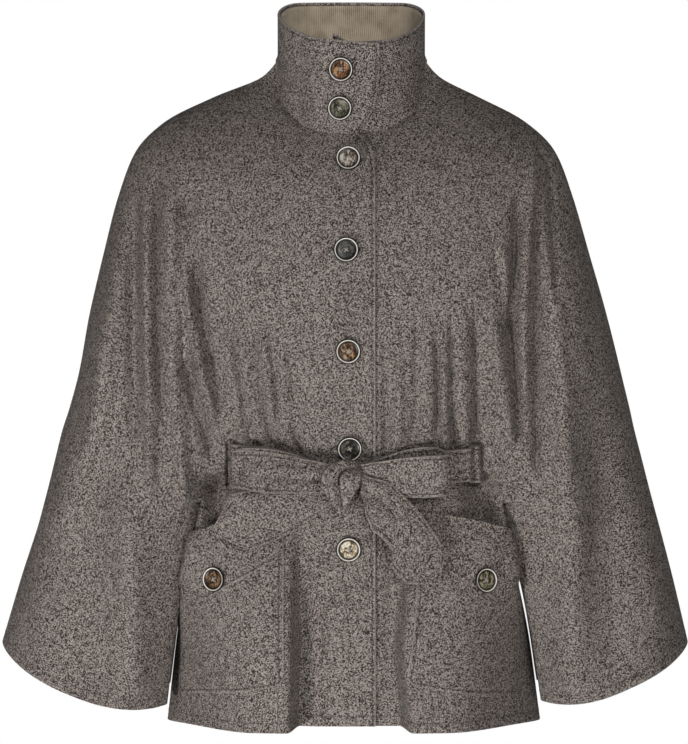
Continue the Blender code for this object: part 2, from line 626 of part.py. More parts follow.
def over_front(x, z, height):
    """The point at this height over the fronts at x, z, and the direction out of them."""
    side = -1 if x < LAP else 1
    return lift(side, share_at(side, x, z), z, height)


def over_skirt(x, z, height):
    """As over_front, but it stays level with the skirt's crest where the skirt turns back beside it."""
    side = -1 if x < LAP else 1
    point, _ = lift(side, share_at(side, x, z), z, height, PLAIN_FRONTS)
    crest = float(read(FLUTE_FOOT, "right" if side < 0 else "left", z, "z")) + FLUTE["wall"]
    point[1] -= flute_depth(side, max(abs(x), crest), z)
    return point


def grid_object(name, lines, thickness, finish):
    cloth = Cloth()
    above = None
    for points in lines:
        line = cloth.row(points)
        if above:
            cloth.join(above, line)
        above = line
    return sew(name, cloth, thickness, finish)


def corner_cut(a, b, radius):
    """Moves a point that is a and b from two sides of a corner onto the arc that rounds it."""
    if a >= radius or b >= radius:
        return a, b
    shrink = min(1.0, radius / math.hypot(radius - a, radius - b))
    return radius - (radius - a) * shrink, radius - (radius - b) * shrink


SIDES = {"right": -1, "left": 1}


def between(corners, u, v):
    """The place at shares u and v of a four-cornered piece, from its inner top."""
    (inner_top, outer_top), (inner_foot, outer_foot) = np.array(corners)
    return (inner_top * (1 - u) + outer_top * u) * (1 - v) + (inner_foot * (1 - u) + outer_foot * u) * v


def on_front(side, corners):
    """Corners given as x and z in millimetres, as share of the way to the side and z in metres."""
    placed = [[(share_at(SIDES[side], x * MM, z * MM), z * MM) for x, z in edge] for edge in corners]
    return np.array(placed)


def pocket_place(side, u, v):
    """Share and z at shares u from the inner side and v from the top of a pocket with round lower corners."""
    (inner_top, _), (inner_foot, outer_foot) = np.array(POCKETS[side]) * MM
    width, height = np.linalg.norm(outer_foot - inner_foot), np.linalg.norm(inner_foot - inner_top)
    inner, foot = corner_cut(u * width, (1 - v) * height, POCKET_CORNER)
    outer, foot = corner_cut(width - inner, foot, POCKET_CORNER)
    return between(on_front(side, POCKETS[side]), 1 - outer / width, 1 - foot / height)


def pocket_height(u, v):
    bulge = POCKET_BULGE * math.sin(math.pi * min(max(u, 0), 1)) * math.sin(math.pi * min(max(v, 0), 1))
    return (CLOTH + POCKET_CLOTH) / 2 + POCKET_GAP + bulge


def pocket(side, finish):
    lines = []
    for v in np.linspace(0, 1, POCKET_ROWS + 1):
        places = [(u, pocket_place(side, u, v)) for u in POCKET_COLUMNS]
        lines.append([lift(SIDES[side], share, z, pocket_height(u, v))[0] for u, (share, z) in places])
    return grid_object(f"pocket_{side}", lines, POCKET_CLOTH, finish)


def flap_place(side, u, v):
    """Share and z at a share u from the inner side and v from the top of a flap."""
    corners = on_front(side, FLAPS[side])
    tip_share, tip_z = FLAP_TIPS[side]
    top, foot = between(corners, u, 0), between(corners, u, 1)
    foot[1] = np.interp(u, [0, tip_share, 1], [corners[1, 0, 1], tip_z * MM, corners[1, 1, 1]])
    return top * (1 - v) + foot * v


def flap_height(side, share, z):
    """Over the front at the flap's seam, and over the pocket below it."""
    (inner_top, outer_top), (inner_foot, _) = on_front(side, POCKETS[side])
    u = (share - inner_top[0]) / (outer_top[0] - inner_top[0])
    top = inner_top[1] * (1 - u) + outer_top[1] * u
    v = (top - z) / (inner_top[1] - inner_foot[1])
    return pocket_height(u, v) + smooth((v + 0.09) / 0.09) * (POCKET_CLOTH + FLAP_GAP)


def flap(side, finish):
    across, down = FLAP_GRID
    lines = []
    for v in np.linspace(0, 1, down + 1):
        places = [flap_place(side, u, v) for u in np.linspace(0, 1, across + 1)]
        heights = [flap_height(side, share, z) for share, z in places]
        lines.append([lift(SIDES[side], *place, height)[0] for place, height in zip(places, heights)])
    return grid_object(f"flap_{side}", lines, POCKET_CLOTH, finish)


def neck_foot(turn):
    """The collar's foot on the neck seam. turn is 0 at the centre front and 90 at the wearer's left."""
    s = sizes(0)
    cosine = math.cos(math.radians(turn))
    depth, middle_z = (s["front_y"], s["front_z"]) if cosine > 0 else (s["back_y"], s["back_z"])
    z = s["arm_z"] + (middle_z - s["arm_z"]) * turned(abs(cosine), s["lean"])
    foot = np.array([[s["arm_x"] * math.sin(math.radians(turn)), -depth * cosine, z]])
    foot[:, 0] += sway(0, foot)
    return foot[0]


def collar_point(turn, share, height):
    """A point of the collar, at a share of its way up and a height over its middle layer."""
    foot, before, after = neck_foot(turn), neck_foot(turn - 3), neck_foot(turn + 3)
    way = after - before
    level = np.linalg.norm(way[:2])
    foot_z = foot[2] + COLLAR_SEAT * np.linalg.norm(way) / level
    out = np.array([way[1], -way[0]]) / level
    top_z = float(read(COLLAR_TOP, "z", turn % 360 if turn < 0 else turn, "turn"))
    top_z += COLLAR_UNDER_RISE * smooth(-turn / COLLAR_UNDER_TURN)
    forward = COLLAR_LEAN * share * max(0.0, math.cos(math.radians(turn)))
    start, end = COLLAR_LAP_TURNS
    height += COLLAR_LAP_LIFT * smooth((turn - start) / (end - start))
    x, y = foot[:2] + out * height
    return np.array([x, y - forward, foot_z + (top_z - foot_z) * share])


def collar_turn(x):
    """Degrees from the centre front at which the collar's middle layer has this x."""
    return math.degrees(math.asin(x / sizes(0)["arm_x"]))


def collar_band(name, rows, height, shares, trim, thickness, finish):
    """The collar or its facing: a band from its under end round the back to its over end, cut in a curve."""
    lines = []
    for share in np.linspace(*shares, rows + 1):
        end = 360 + collar_turn(float(read(COLLAR_EDGE, "x", share, "share"))) - trim
        last = np.linspace(COLLAR_TURNS[-1], end, COLLAR_END_COLUMNS + 1)[1:]
        turns = [collar_turn(-COLLAR_UNDER_X) + trim, *COLLAR_TURNS, *last]
        lines.append([collar_point(turn, share, height) for turn in turns])
    return grid_object(name, lines, thickness, finish)


def belt_lines(side):
    """Lines across the belt, from the knot over one front and through its slit."""
    shares = np.array([-1, 0, 1])
    lines = []
    for x in BELT_OUTER_X:
        middle, width = (float(read(BELT_BAND, name, x * MM, "x")) for name in ("z", "width"))
        heights = middle + shares * width / 2
        lines.append([over_front(side * x * MM, z, BELT_HEIGHT)[0] for z in heights])
    middle, half = sum(SLIT_SHARES) / 2, (SLIT_SHARES[1] - SLIT_SHARES[0]) / 2
    for place, height in BELT_CROSSING:
        heights = BELT_BAND["z"][-1] + shares * BELT_WIDTH / 2
        lines.append([lift(side, middle + place * half, z, height * MM)[0] for z in heights])
    return lines


def belt(name, finish):
    """The belt between the two sides of the knot, by way of both slits and the inside of the back."""
    lines = belt_lines(1)
    z = BELT_BAND["z"][-1]
    for x, y in [*BELT_INSIDE, BELT_BACK, *((-x, y) for x, y in reversed(BELT_INSIDE))]:
        lines.append([(x * MM + WAIST_SWAY, y * MM, z + share * BELT_WIDTH / 2) for share in (-1, 0, 1)])
    lines.extend(reversed(belt_lines(-1)))
    start = len(BELT_OUTER_X) + 1
    p = np.array(lines)
    smoothed = [*p[:start]]
    for i in range(start, len(p) - start):
        smoothed.append(p[i])
        inside = start + len(BELT_CROSSING) - 2 <= i <= len(p) - start - len(BELT_CROSSING)
        if inside:
            smoothed.append((9 * (p[i] + p[i + 1]) - p[i - 1] - p[i + 2]) / 16)
    smoothed.extend(p[len(p) - start :])
    return grid_object(name, smoothed, BELT_CLOTH, finish)


def strip(name, stations, rows, finish, tip=0.0):
    """A strip of the belt over the fronts. A tip makes its end a point, turns its lines square to its way,
    and lays it over the skirt's turns."""
    p = np.stack(list(stations.values()), axis=1)
    path = curve(p, 2 * p[0] - p[1], 2 * p[-1] - p[-2])
    steps = np.linalg.norm(np.diff(path[:, (0, 1, 3)], axis=0), axis=1)
    length = np.concatenate([[0], np.cumsum(steps)])
    way = np.gradient(path[:, :2], axis=0)
    way /= np.linalg.norm(way, axis=1, keepdims=True)
    square = np.stack([-way[:, 1], way[:, 0]], axis=1) * np.sign(way[:1, 0])
    turn = smooth(length / STRIP_TURN)[:, None] if tip else 0.0
    across = np.array([0.0, 1.0]) * (1 - turn) + square * turn
    across /= np.linalg.norm(across, axis=1, keepdims=True)
    lines = []
    for share in np.linspace(0, 1, rows + 1):
        line = []
        for side in (-1, -0.5, 0, 0.5, 1):
            at = share * length[-1] - tip * abs(side) * share**3
            x, z, width, height = (np.interp(at, length, path[:, i]) for i in range(4))
            shift = np.array([np.interp(at, length, across[:, i]) for i in range(2)]) * side * width / 2
            place = (x + shift[0], z + shift[1], height)
            line.append(over_skirt(*place) if tip else over_front(*place)[0])
        lines.append(line)
    return grid_object(name, lines, BELT_CLOTH, finish)


def knot(name, finish):
    """The knot, as a lump of rings that are round at the face and stepped at the back."""
    rings = []
    for z, left, core, right, back_height, over, face_height in zip(*KNOT.values()):
        ring = []
        for angle in np.linspace(0, math.pi, KNOT_FACE_POINTS):
            x = (left + right) / 2 + (right - left) / 2 * math.cos(angle)
            lowest = over if x < core else back_height
            edge = lowest + (face_height - lowest) * KNOT_EDGE
            ring.append((x, edge + (face_height - edge) * math.sin(angle) ** 0.7))
        ring.extend([((left + core) / 2, over), (core, over), (core, back_height)])
        ring.append((right / 2, back_height))
        rings.append([(x, over_front(x, z, 0)[0][1] - height, z) for x, height in ring])
    return turned_solid(name, rings, finish)


def turned_solid(name, rings, finish):
    """A closed body from rings with the same number of points, with a middle point on each end."""
    sides = len(rings[0])
    points = [point for ring in rings for point in ring]
    faces = []
    for start in range(0, len(points) - sides, sides):
        for i in range(sides):
            j = (i + 1) % sides
            faces.append((start + i, start + j, start + sides + j, start + sides + i))
    for start, turned_round in ((0, False), (len(points) - sides, True)):
        middle = len(points)
        points.append(np.mean(rings[0] if start == 0 else rings[-1], axis=0))
        for i in range(sides):
            face = (middle, start + i, start + (i + 1) % sides)
            faces.append(face if turned_round else face[::-1])
    return add_object(name, points, faces, finish)


def button(name, place, out, finish):
    """A turned button with a raised rim. place is the middle of its back."""
    up = np.array([0.0, 0.0, 1.0])
    across = np.cross(up, out)
    across /= np.linalg.norm(across)
    up = np.cross(out, across)
    rings = []
    for radius, height in BUTTON_PROFILE:
        ring = []
        for i in range(BUTTON_SIDES):
            angle = 2 * math.pi * i / BUTTON_SIDES
            spoke = across * math.cos(angle) + up * math.sin(angle)
            ring.append(place + spoke * radius * BUTTON_RADIUS + out * height * BUTTON_HEIGHT)
        rings.append(ring)
    return turned_solid(name, rings, finish)


def buttons(finish):
    number = 0
    for x, z in COLLAR_BUTTONS:
        number += 1
        turn = 360 + collar_turn(x * MM)
        foot, top = collar_point(turn, 0, 0), collar_point(turn, 1, 0)
        share = (z * MM - foot[2]) / (top[2] - foot[2])
        middle = collar_point(turn, share, 0)
        out = np.cross(collar_point(turn + 5, share, 0) - collar_point(turn - 5, share, 0), top - foot)
        out /= np.linalg.norm(out)
        button(f"button_{number}", middle + out * (CLOTH / 2 + BUTTON_GAP), out, finish)
    for x, z in FRONT_BUTTONS:
        number += 1
        place, out = over_front(x * MM, z * MM, CLOTH / 2 + BUTTON_GAP)
        button(f"button_{number}", place, out, finish)
    for side, (x, z) in POCKET_BUTTONS.items():
        share = share_at(SIDES[side], x * MM, z * MM)
        height = flap_height(side, share, z * MM) + POCKET_CLOTH / 2 + FLAP_BUTTON_GAP
        place, out = lift(SIDES[side], share, z * MM, height)
        button(f"button_pocket_{side}", place, out, finish)


def main():
    for old in list(bpy.data.objects):
        bpy.data.objects.remove(old)
    wool = material("wool", (0.17, 0.145, 0.125), 0.9)
    corduroy = material("corduroy", (0.23, 0.19, 0.15), 0.85)
    horn = material("horn", (0.12, 0.09, 0.07), 0.35)
    front("front_right", -1, wool)
    front("front_left", 1, wool)
    back("back", wool)
    collar_band("collar", COLLAR_ROWS, 0.0, (0, 1), 0.0, CLOTH, wool)
    facing_height = -((CLOTH + FACING_CLOTH) / 2 + FACING_GAP)
    collar_band("collar_facing", FACING_ROWS, facing_height, (0.05, 0.93), 1.0, FACING_CLOTH, corduroy)
    for side in POCKETS:
        pocket(side, wool)
        flap(side, wool)
    belt("belt", wool)
    knot("knot", wool)
    strip("loop_right", LOOP_RIGHT, 22, wool)
    strip("loop_left", LOOP_LEFT, 20, wool)
    strip("tail_right", TAIL_RIGHT, 10, wool, TIPS["right"])
    strip("tail_left", TAIL_LEFT, 10, wool, TIPS["left"])
    buttons(horn)


main()
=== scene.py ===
# %% [markdown]
# # A wool cape coat with a tie belt
#
# The coat is filled out as if it were worn, with nobody in it. Two fronts are cut in one with wide wings. There is
# one back, a stand collar faced with corduroy, two patch pockets with flaps, nine buttons, and a belt that is tied in
# a bow over the closed front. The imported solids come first: each soft one is replaced by a piece with a finish.

import functools
import json
import math

import bmesh
import bpy
import numpy as np
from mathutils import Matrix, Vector

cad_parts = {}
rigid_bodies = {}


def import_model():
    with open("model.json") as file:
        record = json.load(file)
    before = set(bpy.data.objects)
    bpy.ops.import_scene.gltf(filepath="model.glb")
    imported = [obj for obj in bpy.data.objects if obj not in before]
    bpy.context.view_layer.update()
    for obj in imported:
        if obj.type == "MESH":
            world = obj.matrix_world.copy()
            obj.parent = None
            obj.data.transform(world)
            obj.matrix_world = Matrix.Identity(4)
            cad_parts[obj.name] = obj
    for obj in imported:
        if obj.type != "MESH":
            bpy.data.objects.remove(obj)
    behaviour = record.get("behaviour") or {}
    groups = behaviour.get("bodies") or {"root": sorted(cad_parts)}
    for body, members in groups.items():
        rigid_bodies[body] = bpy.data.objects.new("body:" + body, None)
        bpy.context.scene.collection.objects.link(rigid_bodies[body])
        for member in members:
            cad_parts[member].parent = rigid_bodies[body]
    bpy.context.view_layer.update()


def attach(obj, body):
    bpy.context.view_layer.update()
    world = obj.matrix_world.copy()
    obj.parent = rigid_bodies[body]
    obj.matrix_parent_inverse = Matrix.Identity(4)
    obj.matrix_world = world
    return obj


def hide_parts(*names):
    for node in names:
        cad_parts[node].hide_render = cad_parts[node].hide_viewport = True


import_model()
MM = 0.001

# %% [markdown]
# ## Camera, floor and light
#
# The camera stands 3 m in front of the coat, a little over its middle, with a long lens. A long lens seen from far
# away keeps the two wings the same size. The light comes from the front and from low down, so the chest, which leans
# back, is darker than the waist. The lamp on the left is the stronger one, which models the upright folds. Wide lamps
# give soft edges to the shade. The background is white to the camera, but weak as a light, so that hollows stay dark.

# %% Camera
camera = bpy.data.objects.new("camera", bpy.data.cameras.new("camera"))
camera.location = (-0.00408, -3.0, -0.12)
aim = Vector((-0.00408, 0.0, -0.315))
camera.rotation_euler = (aim - camera.location).to_track_quat("-Z", "Y").to_euler()
camera.data.lens = 142.6
bpy.context.scene.collection.objects.link(camera)
bpy.context.scene.camera = camera

# %% Floor, background and lamps
FLOOR_Z = -1.42
FLOOR_RADIUS = 3.0
rim = [(FLOOR_RADIUS * math.cos(a), FLOOR_RADIUS * math.sin(a), FLOOR_Z) for a in np.linspace(0, 2 * math.pi, 65)[:-1]]
floor_mesh = bpy.data.meshes.new("floor")
floor_mesh.from_pydata(rim, [], [list(range(len(rim)))])
floor = bpy.data.objects.new("floor", floor_mesh)
bpy.context.scene.collection.objects.link(floor)

LAMPS = (("lamp_left", (-1.25, -2.05, -1.15), 0.45, 25), ("lamp_right", (0.75, -2.2, -1.2), 0.6, 8),
         ("lamp_front", (0.55, -2.75, 0.5), 0.9, 19))
for name, place, size, power in LAMPS:
    lamp = bpy.data.objects.new(name, bpy.data.lights.new(name, "AREA"))
    lamp.data.size = size
    lamp.data.energy = power
    lamp.location = place
    lamp.rotation_euler = (Vector((0, 0, -0.33)) - lamp.location).to_track_quat("-Z", "Y").to_euler()
    bpy.context.scene.collection.objects.link(lamp)

# A narrow lamp from above lights the corduroy at the back of the neck, over the collar's front edge.
snoot = bpy.data.objects.new("lamp_collar", bpy.data.lights.new("lamp_collar", "SPOT"))
snoot.data.energy = 75
snoot.data.shadow_soft_size = 0.05
snoot.data.spot_size = math.radians(6.5)
snoot.data.spot_blend = 0.6
snoot.location = (-0.1, -1.55, 0.95)
snoot.rotation_euler = (Vector((0.0, 0.06, 0.06)) - snoot.location).to_track_quat("-Z", "Y").to_euler()
bpy.context.scene.collection.objects.link(snoot)

world = bpy.data.worlds.new("studio")
world.use_nodes = True
tree = world.node_tree
background = tree.nodes["Background"]
background.inputs["Color"].default_value = (1, 1, 1, 1)
seen = tree.nodes.new("ShaderNodeLightPath")
share = tree.nodes.new("ShaderNodeMapRange")
share.inputs["To Min"].default_value = 0.1
share.inputs["To Max"].default_value = 1.0
tree.links.new(seen.outputs["Is Camera Ray"], share.inputs["Value"])
tree.links.new(share.outputs["Result"], background.inputs["Strength"])
bpy.context.scene.world = world
bpy.context.scene.view_settings.view_transform = "Standard"
print("lamps:", [lamp[0] for lamp in LAMPS])

# %% [markdown]
# ## A short way to write shaders
#
# A shader is sums on sockets. The class Socket lets them be written as sums: with it, 1 - mask adds a Math node. The
# class Shader makes any other node with one method, node(), which takes the node's type, its settings and the values
# or links of its sockets. The result reads like a recipe, where a picture of the node tree would not fit on a page.


# %% Sockets that know sums
class Socket:
    def __init__(self, shader, socket):
        self.shader = shader
        self.socket = socket

    def sum(self, operation, first, second=0.0, third=0.0):
        sockets = {0: first, 1: second, 2: third}
        return self.shader.node("ShaderNodeMath", {"operation": operation}, sockets)

    def __add__(self, other):
        return self.sum("ADD", self, other)

    def __sub__(self, other):
        return self.sum("SUBTRACT", self, other)

    def __rsub__(self, other):
        return self.sum("SUBTRACT", other, self)

    def __mul__(self, other):
        return self.sum("MULTIPLY", self, other)

    def __truediv__(self, other):
        return self.sum("DIVIDE", self, other)

    def __abs__(self):
        return self.sum("ABSOLUTE", self)

    __radd__ = __add__
    __rmul__ = __mul__


class Shader:
    """A material and its main shader. Values that are the same all over are set on the shader's own sockets."""

    def __init__(self, name, **constant):
        self.material = bpy.data.materials.new(name)
        self.material.use_nodes = True
        self.tree = self.material.node_tree
        self.main = self.tree.nodes["Principled BSDF"]
        for key, value in constant.items():
            self.main.inputs[key.replace("_", " ")].default_value = value

    def node(self, kind, settings=None, sockets=None, out=0):
        made = self.tree.nodes.new(kind)
        for key, value in (settings or {}).items():
            if key == "stops":
                ramp = made.color_ramp.elements
                while len(ramp) < len(value):
                    ramp.new(0.5)
                for stop, (at, colour) in zip(ramp, value):
                    stop.position = at
                    stop.color = (*colour, 1.0)
            else:
                setattr(made, key, value)
        for key, value in (sockets or {}).items():
            if isinstance(value, Socket):
                self.tree.links.new(value.socket, made.inputs[key])
            else:
                made.inputs[key].default_value = value
        return Socket(self, made.outputs[out])

    def noise(self, place, size, detail=1.0, roughness=0.5, distortion=0.0):
        """Cloudy grey whose spots are about this size in metres."""
        sockets = {"Vector": place, "Scale": 1 / size, "Detail": detail, "Roughness": roughness,
                   "Distortion": distortion}
        return self.node("ShaderNodeTexNoise", {}, sockets)

    def stretched(self, place, sizes):
        """The place, scaled so that a noise of size 1 has spots of these sizes in metres."""
        mapping = {"Vector": place, "Scale": [1 / size for size in sizes]}
        return self.node("ShaderNodeMapping", {}, mapping)

    def between(self, value, low, high):
        """0 below low, 1 above high and smooth between them."""
        sockets = {"Value": value, "From Min": low, "From Max": high}
        return self.node("ShaderNodeMapRange", {"interpolation_type": "SMOOTHSTEP"}, sockets)

    def ramp(self, value, *stops):
        return self.node("ShaderNodeValToRGB", {"stops": stops}, {"Fac": value})

    def mix(self, share, first, second, blend="MIX"):
        settings = {"data_type": "RGBA", "blend_type": blend}
        made = self.node("ShaderNodeMix", settings, {0: share, 6: first, 7: second}, 2)
        return made

    def finish(self, colour, roughness=None, height=None, relief=0.0003):
        self.tree.links.new(colour.socket, self.main.inputs["Base Color"])
        if roughness is not None:
            self.tree.links.new(roughness.socket, self.main.inputs["Roughness"])
        if height is not None:
            bump = self.node("ShaderNodeBump", {}, {"Height": height, "Distance": relief, "Strength": 1.0})
            self.tree.links.new(bump.socket, self.main.inputs["Normal"])
        return self.material


# %% [markdown]
# ## Wool
#
# The cloth is a milled wool in a heather of dark brown, taupe and pale grey fibres. The milling hides the weave, so
# what shows is a grain of flecks about a millimetre across. It could be one noise, but real yarns run two ways. So
# there are short streaks along the warp and across it, read from each piece's own map in metres, and round flecks
# over them. A groove follows each row of stitches: the distance to the sewn edge is kept on the mesh, as "edge".
# The grooves are bumps, and their colour is also darkened as painted shade.

# %% Wool
STITCH_INSET = 3.2 * MM
THREAD_RISE = 0.06 * MM
HEM_DEPTH = 10 * MM
GROOVE = 1.1 * MM


def wool(name, deep=(0.017, 0.012, 0.010), middle=(0.120, 0.098, 0.086), pale=(0.52, 0.46, 0.415)):
    shader = Shader(name, Roughness=0.93, Sheen_Weight=0.02, Sheen_Roughness=0.5, Specular_IOR_Level=0.15)
    map_ = shader.node("ShaderNodeUVMap", {"uv_map": "cloth"})
    place = shader.node("ShaderNodeTexCoord", out="Object")
    warp = shader.noise(shader.stretched(map_, (0.55 * MM, 1.3 * MM, 1)), 1, 1.0)
    weft = shader.noise(shader.stretched(map_, (1.3 * MM, 0.55 * MM, 1)), 1, 1.0)
    tuft = shader.node("ShaderNodeTexVoronoi", {}, {"Vector": place, "Scale": 1 / (0.8 * MM)}, "Color")
    cloud = shader.noise(place, 34 * MM, 2.0)
    grain = tuft * 0.70 + warp * 0.16 + weft * 0.14
    value = (grain - 0.5) * 7.0 + 0.5 + (cloud - 0.5) * 0.12
    colour = shader.ramp(value, (0.0, deep), (0.5, middle), (1.0, pale))
    colour = shader.mix(0.16, colour, shader.ramp(tuft, (0.35, (0.15, 0.10, 0.085)), (0.65, (0.11, 0.12, 0.13))))
    edge = shader.node("ShaderNodeAttribute", {"attribute_name": "edge"}, out="Fac")
    hem = shader.node("ShaderNodeAttribute", {"attribute_name": "hem"}, out="Fac")
    groove = 1 - shader.between(abs(edge - STITCH_INSET), 0.0, GROOVE)
    hem_groove = 1 - shader.between(abs(hem - HEM_DEPTH), 0.0, GROOVE)
    # Painted highlight: within about a millimetre of a cut edge the colour turns pale, where the round edge would catch
    # the light.
    edge_highlight = 1 - shader.between(edge, 0.4 * MM, 1.4 * MM)
    # Painted shade: the colour darkens toward the deep tone in the stitch grooves and in the hem's groove.
    colour = shader.mix(groove * 0.55 + hem_groove * 0.35, colour, (*deep, 1))
    colour = shader.mix(edge_highlight * 0.55, colour, (0.38, 0.335, 0.30, 1))
    height = grain * 1.2 - groove * 1.1 - hem_groove * 0.9
    return shader.finish(colour, height=height, relief=0.00032)


WOOL = wool("brownish grey wool")

# %% [markdown]
# ## Corduroy, horn and thread
#
# The collar's inside is a fine tan corduroy. Its ribs are real relief in the mesh, and the shader adds the short pile
# and the darker valleys, from the distance to the rib's crest that is kept as "edge"; the dark valleys are painted
# shade. The buttons are horn, so each is mottled in its own colours. Round the rim they have painted shade in the
# dish and on the outer slope, and a pale ring where the rim turns, partly polish and partly a painted highlight. The
# thread matches the cloth.

# %% Corduroy
shader = Shader("tan corduroy", Roughness=0.9, Sheen_Weight=0.25, Sheen_Roughness=0.4, Specular_IOR_Level=0.2)
place = shader.node("ShaderNodeTexCoord", out="Object")
rib = shader.node("ShaderNodeAttribute", {"attribute_name": "edge"}, out="Fac")
pile = shader.noise(place, 0.6 * MM, 2.0)
rubbed = shader.noise(place, 16 * MM, 2.0)
# Painted shade: the valleys between the ribs are painted nearly black.
value = rib * 1.15 + (pile - 0.5) * 0.9 + (rubbed - 0.5) * 1.1 - 0.12
colour = shader.ramp(value, (0.0, (0.045, 0.034, 0.024)), (0.5, (0.225, 0.178, 0.125)), (1.0, (0.43, 0.36, 0.27)))
CORDUROY = shader.finish(colour, height=pile, relief=0.0002)


# %% Horn
def horn(name, deep, middle, pale, seed):
    shader = Shader(name, Roughness=0.3, Coat_Weight=0.10, Coat_Roughness=0.15, Specular_IOR_Level=0.3)
    disc = shader.node("ShaderNodeUVMap", {"uv_map": "cloth"})
    radius = shader.node("ShaderNodeVectorMath", {"operation": "LENGTH"}, {0: disc}, 1)
    moved = shader.node("ShaderNodeMapping", {}, {"Vector": disc, "Location": (seed * 3.1, seed * 1.7, seed)})
    smear = shader.noise(shader.stretched(moved, (0.34, 0.75, 1)), 1, 4.0, 0.62, 1.1)
    speck = shader.noise(moved, 0.11, 2.0)
    value = (smear - 0.5) * 5.0 + 0.5 + (speck - 0.5) * 2.0
    colour = shader.ramp(value, (0.05, deep), (0.5, middle), (1.0, pale))
    # Painted shade: a dark band in the dish, at the foot of the rim.
    dish_shade = shader.between(radius, 0.60, 0.70) * (1 - shader.between(radius, 0.80, 0.83))
    # A pale ring where the rim turns: partly polish, partly a painted highlight.
    ring = shader.between(radius, 0.81, 0.84) * (1 - shader.between(radius, 0.885, 0.91))
    # Painted shade: a dark outline over the rim's outer slope.
    rim = shader.between(radius, 0.89, 0.915)
    colour = shader.mix(dish_shade * 0.92, colour, (0.012, 0.010, 0.008, 1))
    colour = shader.mix(ring * 0.97, colour, (0.95, 0.91, 0.82, 1))
    colour = shader.mix(rim * 0.97, colour, (0.010, 0.008, 0.007, 1))
    return shader.finish(colour, roughness=speck * 0.25 + 0.2, height=speck, relief=0.00008)


shader = Shader("taupe thread", Roughness=0.7, Sheen_Weight=0.1)
twist = shader.noise(shader.node("ShaderNodeTexCoord", out="Object"), 0.6 * MM, 1.0)
colour = shader.ramp(twist, (0.3, (0.06, 0.05, 0.043)), (0.7, (0.17, 0.148, 0.13)))
THREAD = shader.finish(colour, height=twist, relief=0.0001)
shader = Shader("pale button thread", Roughness=0.6, Sheen_Weight=0.1)
twist = shader.noise(shader.node("ShaderNodeTexCoord", out="Object"), 0.5 * MM, 1.0)
PALE_THREAD = shader.finish(shader.ramp(twist, (0.3, (0.30, 0.27, 0.23)), (0.7, (0.66, 0.62, 0.55))))
shader = Shader("pale floor", Roughness=0.85)
cast = shader.noise(shader.node("ShaderNodeTexCoord", out="Object"), 0.8, 2.0)
floor.data.materials.append(shader.finish(shader.ramp(cast, (0.3, (0.80, 0.80, 0.79)), (0.7, (0.84, 0.84, 0.83)))))
print("finishes:", [WOOL.name, CORDUROY.name, THREAD.name])

# %% [markdown]
# ## The shape of the coat, as numbers
#
# A coat that hangs is a stack of level sections. Each row of the table gives one section: where its middle, side and
# overarm seam lie, how deep it is, and where the wing folds. Rows 0 to 18.7 go from the neck to the underarm, where
# the wing parts from the body, and the others go down to the hem. Reading the table between its rows on a smooth
# curve gives as many rows as the cloth needs. Sculpting by hand would look as good, but could not follow the solids.

# %% Sizes of the cloth and tables
CLOTH = 2.2 * MM
FACING_CLOTH = 1.6 * MM
POCKET_CLOTH = 1.8 * MM
SEAM_SETBACK = 0.0 * MM
SEAM_CALM = 14 * MM
NECK_SETBACK = 1.0 * MM
BELT_CLOTH = 3.2 * MM
BELT_WIDTH = 47 * MM
UNDERARM_ROW = 18.7
HEM_ROW = 28
FORK_START = 7.0
FORK_FULL = 12.0
FORK_GAP = 9 * MM
FORK_SETBACK = 2.6 * MM
WING_DROOP = {-1: 9 * MM, 1: 3 * MM}
WING_DROOP_START = 18
SIDE_DROOP = 12 * MM
WING_INSIDE = (3 * MM, 0.5)
LAP = 27 * MM
LAP_LIFT = 2.8 * MM
NECK_LAP_LIFT = 4.6 * MM
LAP_END = 32 * MM
LAP_RAMP = 20 * MM
SLIT_SHARES = (0.60, 0.648)
SLIT_ROWS = {-1: (15.2, 17.75), 1: (15.4, 17.6)}


def table(names, *rows):
    """A dictionary of columns in metres. Names that start with = are plain numbers."""
    columns = {}
    for name, values in zip(names.split(), np.array(rows, float).T):
        columns[name.lstrip("=")] = values if name.startswith("=") else values * MM
    return columns


